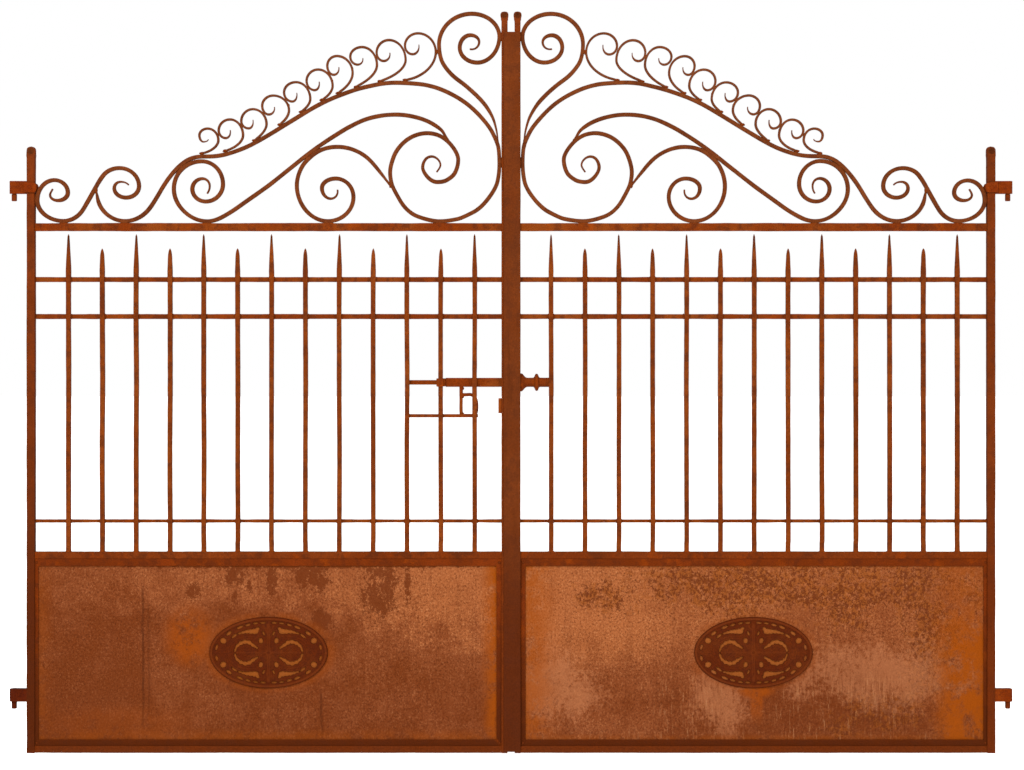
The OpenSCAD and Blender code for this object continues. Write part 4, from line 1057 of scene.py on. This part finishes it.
    for lev, z in (("upper", 1676), ("lower", 154)):
        m = M["hinge_ll"] if (L and lev == "lower") else M["hinge"]
        add(S(f"{lev}_gudgeon_forged"), *gudgeon(z, side, lev == "upper"), m, node=S(f"{lev}_gudgeon"), slot="wrought_iron", **kw)
        add(S(f"{lev}_pintle_turned"), *pintle(z, side), M["hinge_ll"] if (L and lev == "lower") else M["pin"], body="hinge_pins", node=S(f"{lev}_pintle"), side=side, slot="pintle_steel")


def bead_bar(q, side):
    """flat bead with mitred ends: a grid over the quad, rounded at its long edges"""
    a, b, c, d = [np.array(p, float) for p in q]
    # long direction is a->b when that is longer
    if np.linalg.norm(b - a) < np.linalg.norm(c - b):
        a, b, c, d = b, c, d, a
    n = max(4, int(np.linalg.norm(b - a) / 9))
    prof = [(0.0, -0.1), (0.0, -4.6), (0.05, -5.5), (0.14, -5.95), (0.5, -6.0), (0.86, -5.95), (0.95, -5.5), (1.0, -4.6), (1.0, -0.1)]
    rings = []
    for i in range(n + 1):
        t = i / n
        p0, p1 = a + (b - a) * t, d + (c - d) * t
        rings.append(np.array([[*(p0 + (p1 - p0) * s)[:1], y, (p0 + (p1 - p0) * s)[1]] for s, y in prof]))
    v, f = loft(rings)
    nn = NOISE[side]
    m = v[:, 1] < -1
    v[m, 1] += nn(v[m] * 0.06) * 0.35 + nn(v[m] * 0.3) * 0.12
    v[:, 1] = np.maximum(v[:, 1], -6.4)
    return v, f


def sheet(side):
    """thin sheet with the slight waviness of rolled iron"""
    nx, nz = 150, 62
    xs, zs = np.linspace(-SI - 1.2, -MO + 1.2, nx), np.linspace(PRH - 1, PANEL_TOP - PRH + 1, nz)
    X, Z = np.meshgrid(xs, zs, indexing="ij")
    P = np.c_[X.ravel(), np.zeros(X.size), Z.ravel()]
    n = NOISE[side]
    edge = np.minimum(np.minimum(X - xs[0], xs[-1] - X), np.minimum(Z - zs[0], zs[-1] - Z)).ravel()
    amp = ease(edge / 60.0)
    y = (n(P * 0.006) * 0.9 + n(P * 0.02 + 3) * 0.35) * amp + 0.5
    # flat behind the medallion
    k = ease((np.hypot((P[:, 0] - MED_C[0]) / (MED_A + 40), (P[:, 2] - MED_C[1]) / (MED_B + 40)) - 0.75) / 0.35)
    y = y * k + 0.12 * (1 - k) + 0.0
    y = np.clip(y, 0.02, 1.2)
    front = np.c_[P[:, 0], y, P[:, 2]]
    back = np.c_[P[:, 0], y + 0.8 * 1.0, P[:, 2]]
    v = np.vstack([front, back])
    N = nx * nz
    f = []
    id_ = lambda i, j: i * nz + j
    for i in range(nx - 1):
        for j in range(nz - 1):
            q = (id_(i, j), id_(i + 1, j), id_(i + 1, j + 1), id_(i, j + 1))
            f.append(q)
            f.append(tuple(t + N for t in reversed(q)))
    for i in range(nx - 1):
        f.append((id_(i + 1, 0), id_(i, 0), id_(i, 0) + N, id_(i + 1, 0) + N))
        f.append((id_(i, nz - 1), id_(i + 1, nz - 1), id_(i + 1, nz - 1) + N, id_(i, nz - 1) + N))
    for j in range(nz - 1):
        f.append((id_(0, j), id_(0, j + 1), id_(0, j + 1) + N, id_(0, j) + N))
        f.append((id_(nx - 1, j + 1), id_(nx - 1, j), id_(nx - 1, j) + N, id_(nx - 1, j + 1) + N))
    return v, f


leaf("left")
leaf("right")


# ------------------------------------------------------------------ bolt, guides, keeper, strip, lug
def box_slab(x0, x1, y0, y1, z0, z1, bevel=1.2):
    return slab([(x0, z0), (x1, z0), (x1, z1), (x0, z1)], "xz", y0, y1, bevel, 3)


def guide(xc, w, hole_h, y0):
    t, top = 5.0, hole_h / 2 + 0.3
    yf, yb = BOLT_Y - 5.3, BOLT_Y + 5.3
    H = top + t
    parts = []
    # frame round the bar, drawn as a ring and swept along x
    outer = [(y0, BOLT_Z - H), (yb + 4, BOLT_Z - H), (yb + 4, BOLT_Z + H), (y0, BOLT_Z + H)]
    inner = [(yf, BOLT_Z - top), (yb, BOLT_Z - top), (yb, BOLT_Z + top), (yf, BOLT_Z + top)]
    v, f = slab(outer, "xz", xc - w / 2, xc + w / 2, 1.1, 2, hole=inner)
    # slab drew (first, depth, second) as x, y, z: turn it so that depth runs along x
    return np.c_[v[:, 1], v[:, 0], v[:, 2]], [tuple(reversed(q)) for q in f]


gx = -(109 + 101.5)
oct_ = [(gx - 2.5 + a, BOLT_Z + b) for a, b in ((-10.6, -9), (-7, -12.7), (7, -12.7), (10.6, -9), (10.6, 9), (7, 12.7), (-7, 12.7), (-10.6, 9))]
parts = [guide(gx, 27, 13.5, BACK), guide(-(MI + MW / 2), MW - 2, 27, 11.0), slab(oct_, "xz", FRONT - 3.9, FRONT + 0.6, 1.3, 3)]
parts.append(lathe([(6.5, 0.3), (6.3, -0.4), (5.2, -0.9), (2.5, -1.15), (0.5, -1.2)], "y", (gx - 2.5, FRONT - 3.7, BOLT_Z), 28))
v, f = merge(parts)
v = v + np.c_[NOISE["left"](v * 0.1), NOISE["left"](v * 0.1 + 5) * 0.3, NOISE["left"](v * 0.1 + 9)] * 0.2
add("bolt_guides_forged", v, f, M["bolt"], "left_leaf", "bolt_guides", slot="wrought_iron")
v, f = flat(-317, -99, 1010, 10, BACK, BACK + 6, "left")
add("grip_rail_forged", v, f, M["rail"], "left_leaf", "grip_rail", slot="wrought_iron")
v, f = box_slab(-38, -MO + 0.6, -6, 6, 1018, 1063, 1.3)
add("stop_lug_forged", v, f, M["bolt"], "left_leaf", "stop_lug", slot="wrought_iron")

bx0 = gx + 13.8
h2 = 13.5
out = [(bx0 - 118, BOLT_Z - h2 / 2), (bx0, BOLT_Z - h2 / 2), (bx0, BOLT_Z - h2), (-13.4, BOLT_Z - h2), (-13.4, BOLT_Z + h2), (bx0, BOLT_Z + h2), (bx0, BOLT_Z + h2 / 2), (bx0 - 118, BOLT_Z + h2 / 2)]
nose = [(-17, BOLT_Z - 5.4), (4, BOLT_Z - 5.4), (7.9, BOLT_Z - 3), (7.9, BOLT_Z + 3), (4, BOLT_Z + 5.4), (-17, BOLT_Z + 5.4)]
v, f = merge([slab(out, "xz", BOLT_Y - 5, BOLT_Y + 5, 1.2, 3), slab(nose, "xz", BOLT_Y - 4.45, BOLT_Y + 4.45, 1.0, 2)])
add("bolt_bar_forged", v, f, M["bolt"], "bolt", "bolt_bar", slot="wrought_iron")

# stirrup: one bent bar, drawn as sweeps that run into each other
ga = lambda pts, w, k=2.2: sweep(np.array(smooth_path(pts, 60)), w, 4.7, r=1.6, y=BOLT_Y, side="left", amp=0.2, freq=0.12, amp2=0.25, freq2=0.04)
parts = [ga([(-150, 1102), (-150, 1080), (-150.3, 1050), (-150, 1020), (-148, 1012)], 5.3),
         ga([(-148, 1073), (-136, 1072.5), (-122, 1073), (-111, 1068), (-105, 1055), (-103, 1038), (-105, 1020), (-111, 1011), (-124, 1010), (-147, 1010.5)], 5.1)]
for c in ((-144.5, 1067.5), (-144.5, 1015.5), (-144.6, 1092)):
    parts.append(blob((c[0], BOLT_Y, c[1]), (3.4, 4.2, 4.6), seed=c[1], nu=14, nv=10))
v, f = merge(parts)
v[:, 1] = np.clip(v[:, 1], BOLT_Y - 4.95, BOLT_Y + 4.95)
add("bolt_grip_forged", v, f, M["bolt"], "bolt", "bolt_grip", slot="wrought_iron")
parts = []
for x, dz in ((-150, -5), (-125, 5)):
    parts.append(lathe([(5.0, 0.0), (4.9, 0.8), (4.0, 1.7), (2.2, 2.3), (0.6, 2.45)], "y", (x, BOLT_Y + 5.0, BOLT_Z + dz), 24))
add("bolt_rivets_domed", *merge(parts), M["bolt"], "bolt", "bolt_rivets", slot="wrought_iron")

# keeper: flared mouth, tube and pointed ring, bored through; profile goes out along the outside and back along the bore
x0 = MO - 0.8
prof = [(11.6, x0), (26.9, x0), (27.2, x0 + 1.4), (27.0, x0 + 3.8), (25.8, x0 + 6.6), (23.2, x0 + 9.4), (19.2, x0 + 12.6), (16.0, x0 + 16.4), (14.5, x0 + 20), (14.0, x0 + 25), (13.9, 66.5),
        (14.6, 68.4), (17.2, 70.4), (21.4, 71.8), (24.4, 73.2), (25.7, 75.2), (26.0, 77.0), (25.7, 78.8), (24.4, 80.8), (21.4, 82.2), (17.2, 83.6), (14.6, 85.6),
        (13.9, 88), (13.9, 100), (14.0, 112), (13.8, 121), (12.6, 123.4), (10.0, 123.9), (5.0, 123.9), (0.6, 123.9), (0.6, 108), (11.3, 108), (11.6, 100)]
v, f = lathe(prof, "x", (0, BOLT_Y, BOLT_Z), 56, hollow=True)
c = np.c_[v[:, 0], np.full(len(v), BOLT_Y), np.full(len(v), BOLT_Z)]
rr = np.hypot(v[:, 1] - BOLT_Y, v[:, 2] - BOLT_Z)
w_ = rough(v, c, 0.25, 0.12, "right", 0.3, 0.04)
v = np.where((rr > 12.5)[:, None], w_, v)
pad = box_slab(109.2, 123.6, BACK, BACK + 9.5, BOLT_Z - 11.6, BOLT_Z + 11.6, 1.5)
v, f = merge([(v, f), pad])
add("bolt_keeper_turned", v, f, M["bolt"], "right_leaf", "bolt_keeper", slot="wrought_iron")

# cover strip: long thin flat, a little wavy
P = line((MO - 25, 5), (MO - 25, 2160), 9.0)
v, f = sweep(P, 25.0, 2.75, r=1.3, y=-13.75, side="right", amp=0.12, freq=0.05, amp2=0.25, freq2=0.012, mids=5, cap=False)
v[:, 1] = np.clip(v[:, 1], -16.9, -11.02)
v[:, 0] = np.clip(v[:, 0], MO - 50, MO + 0.6)
add("cover_strip_rolled", v, f, M["strip"], "right_leaf", "cover_strip", slot="strip_iron")


# ------------------------------------------------------------------ stage, light, camera
def stage_mat(name, c, rough_):
    m = bpy.data.materials.new(name)
    m.use_nodes = True
    b = m.node_tree.nodes["Principled BSDF"]
    b.inputs["Base Color"].default_value = (c, c, c, 1)
    b.inputs["Roughness"].default_value = rough_
    b.inputs["Specular IOR Level"].default_value = 0.1
    b.inputs["Emission Color"].default_value = (1, 1, 1, 1)
    b.inputs["Emission Strength"].default_value = 0.45
    return m


me = bpy.data.meshes.new("floor")
me.from_pydata([(-40, -40, -0.05), (40, -40, -0.05), (40, 40, -0.05), (-40, 40, -0.05)], [], [(0, 1, 2, 3)])
floor = bpy.data.objects.new("floor", me)
me.materials.append(stage_mat("floor_white", 0.96, 0.9))
bpy.context.scene.collection.objects.link(floor)

w = bpy.data.worlds.new("studio")
w.use_nodes = True
w.node_tree.nodes["Background"].inputs["Color"].default_value = (1, 1, 1, 1)
w.node_tree.nodes["Background"].inputs["Strength"].default_value = 1.0
bpy.context.scene.world = w
bpy.context.scene.view_settings.view_transform = "Standard"
bpy.context.scene.view_settings.look = "None"


def area(name, loc, target, size, power):
    l = bpy.data.lights.new(name, "AREA")
    l.shape = "RECTANGLE"
    l.size, l.size_y = size
    l.energy = power
    o = bpy.data.objects.new(name, l)
    o.location = loc
    from mathutils import Vector
    d = Vector(target) - Vector(loc)
    o.rotation_euler = d.to_track_quat("-Z", "Y").to_euler()
    bpy.context.scene.collection.objects.link(o)
    return o


area("key", (-1.9, -5.8, 5.2), (0, 0, 1.1), (2.2, 2.2), 660)
area("fill", (3.4, -5.6, 2.8), (0, 0, 1.0), (3.0, 3.0), 210)

cam = bpy.data.cameras.new("camera")
cam.sensor_width = 36.0
D = 6.5
cam.lens = 36.0 * D / 3.072
cam.shift_y = (1.1025 - 1.25) / 3.072
cam.clip_end = 200
camera = bpy.data.objects.new("camera", cam)
camera.location = (0.003, -D, 1.25)
camera.rotation_euler = (math.radians(90), 0, 0)
bpy.context.scene.collection.objects.link(camera)
bpy.context.scene.camera = camera
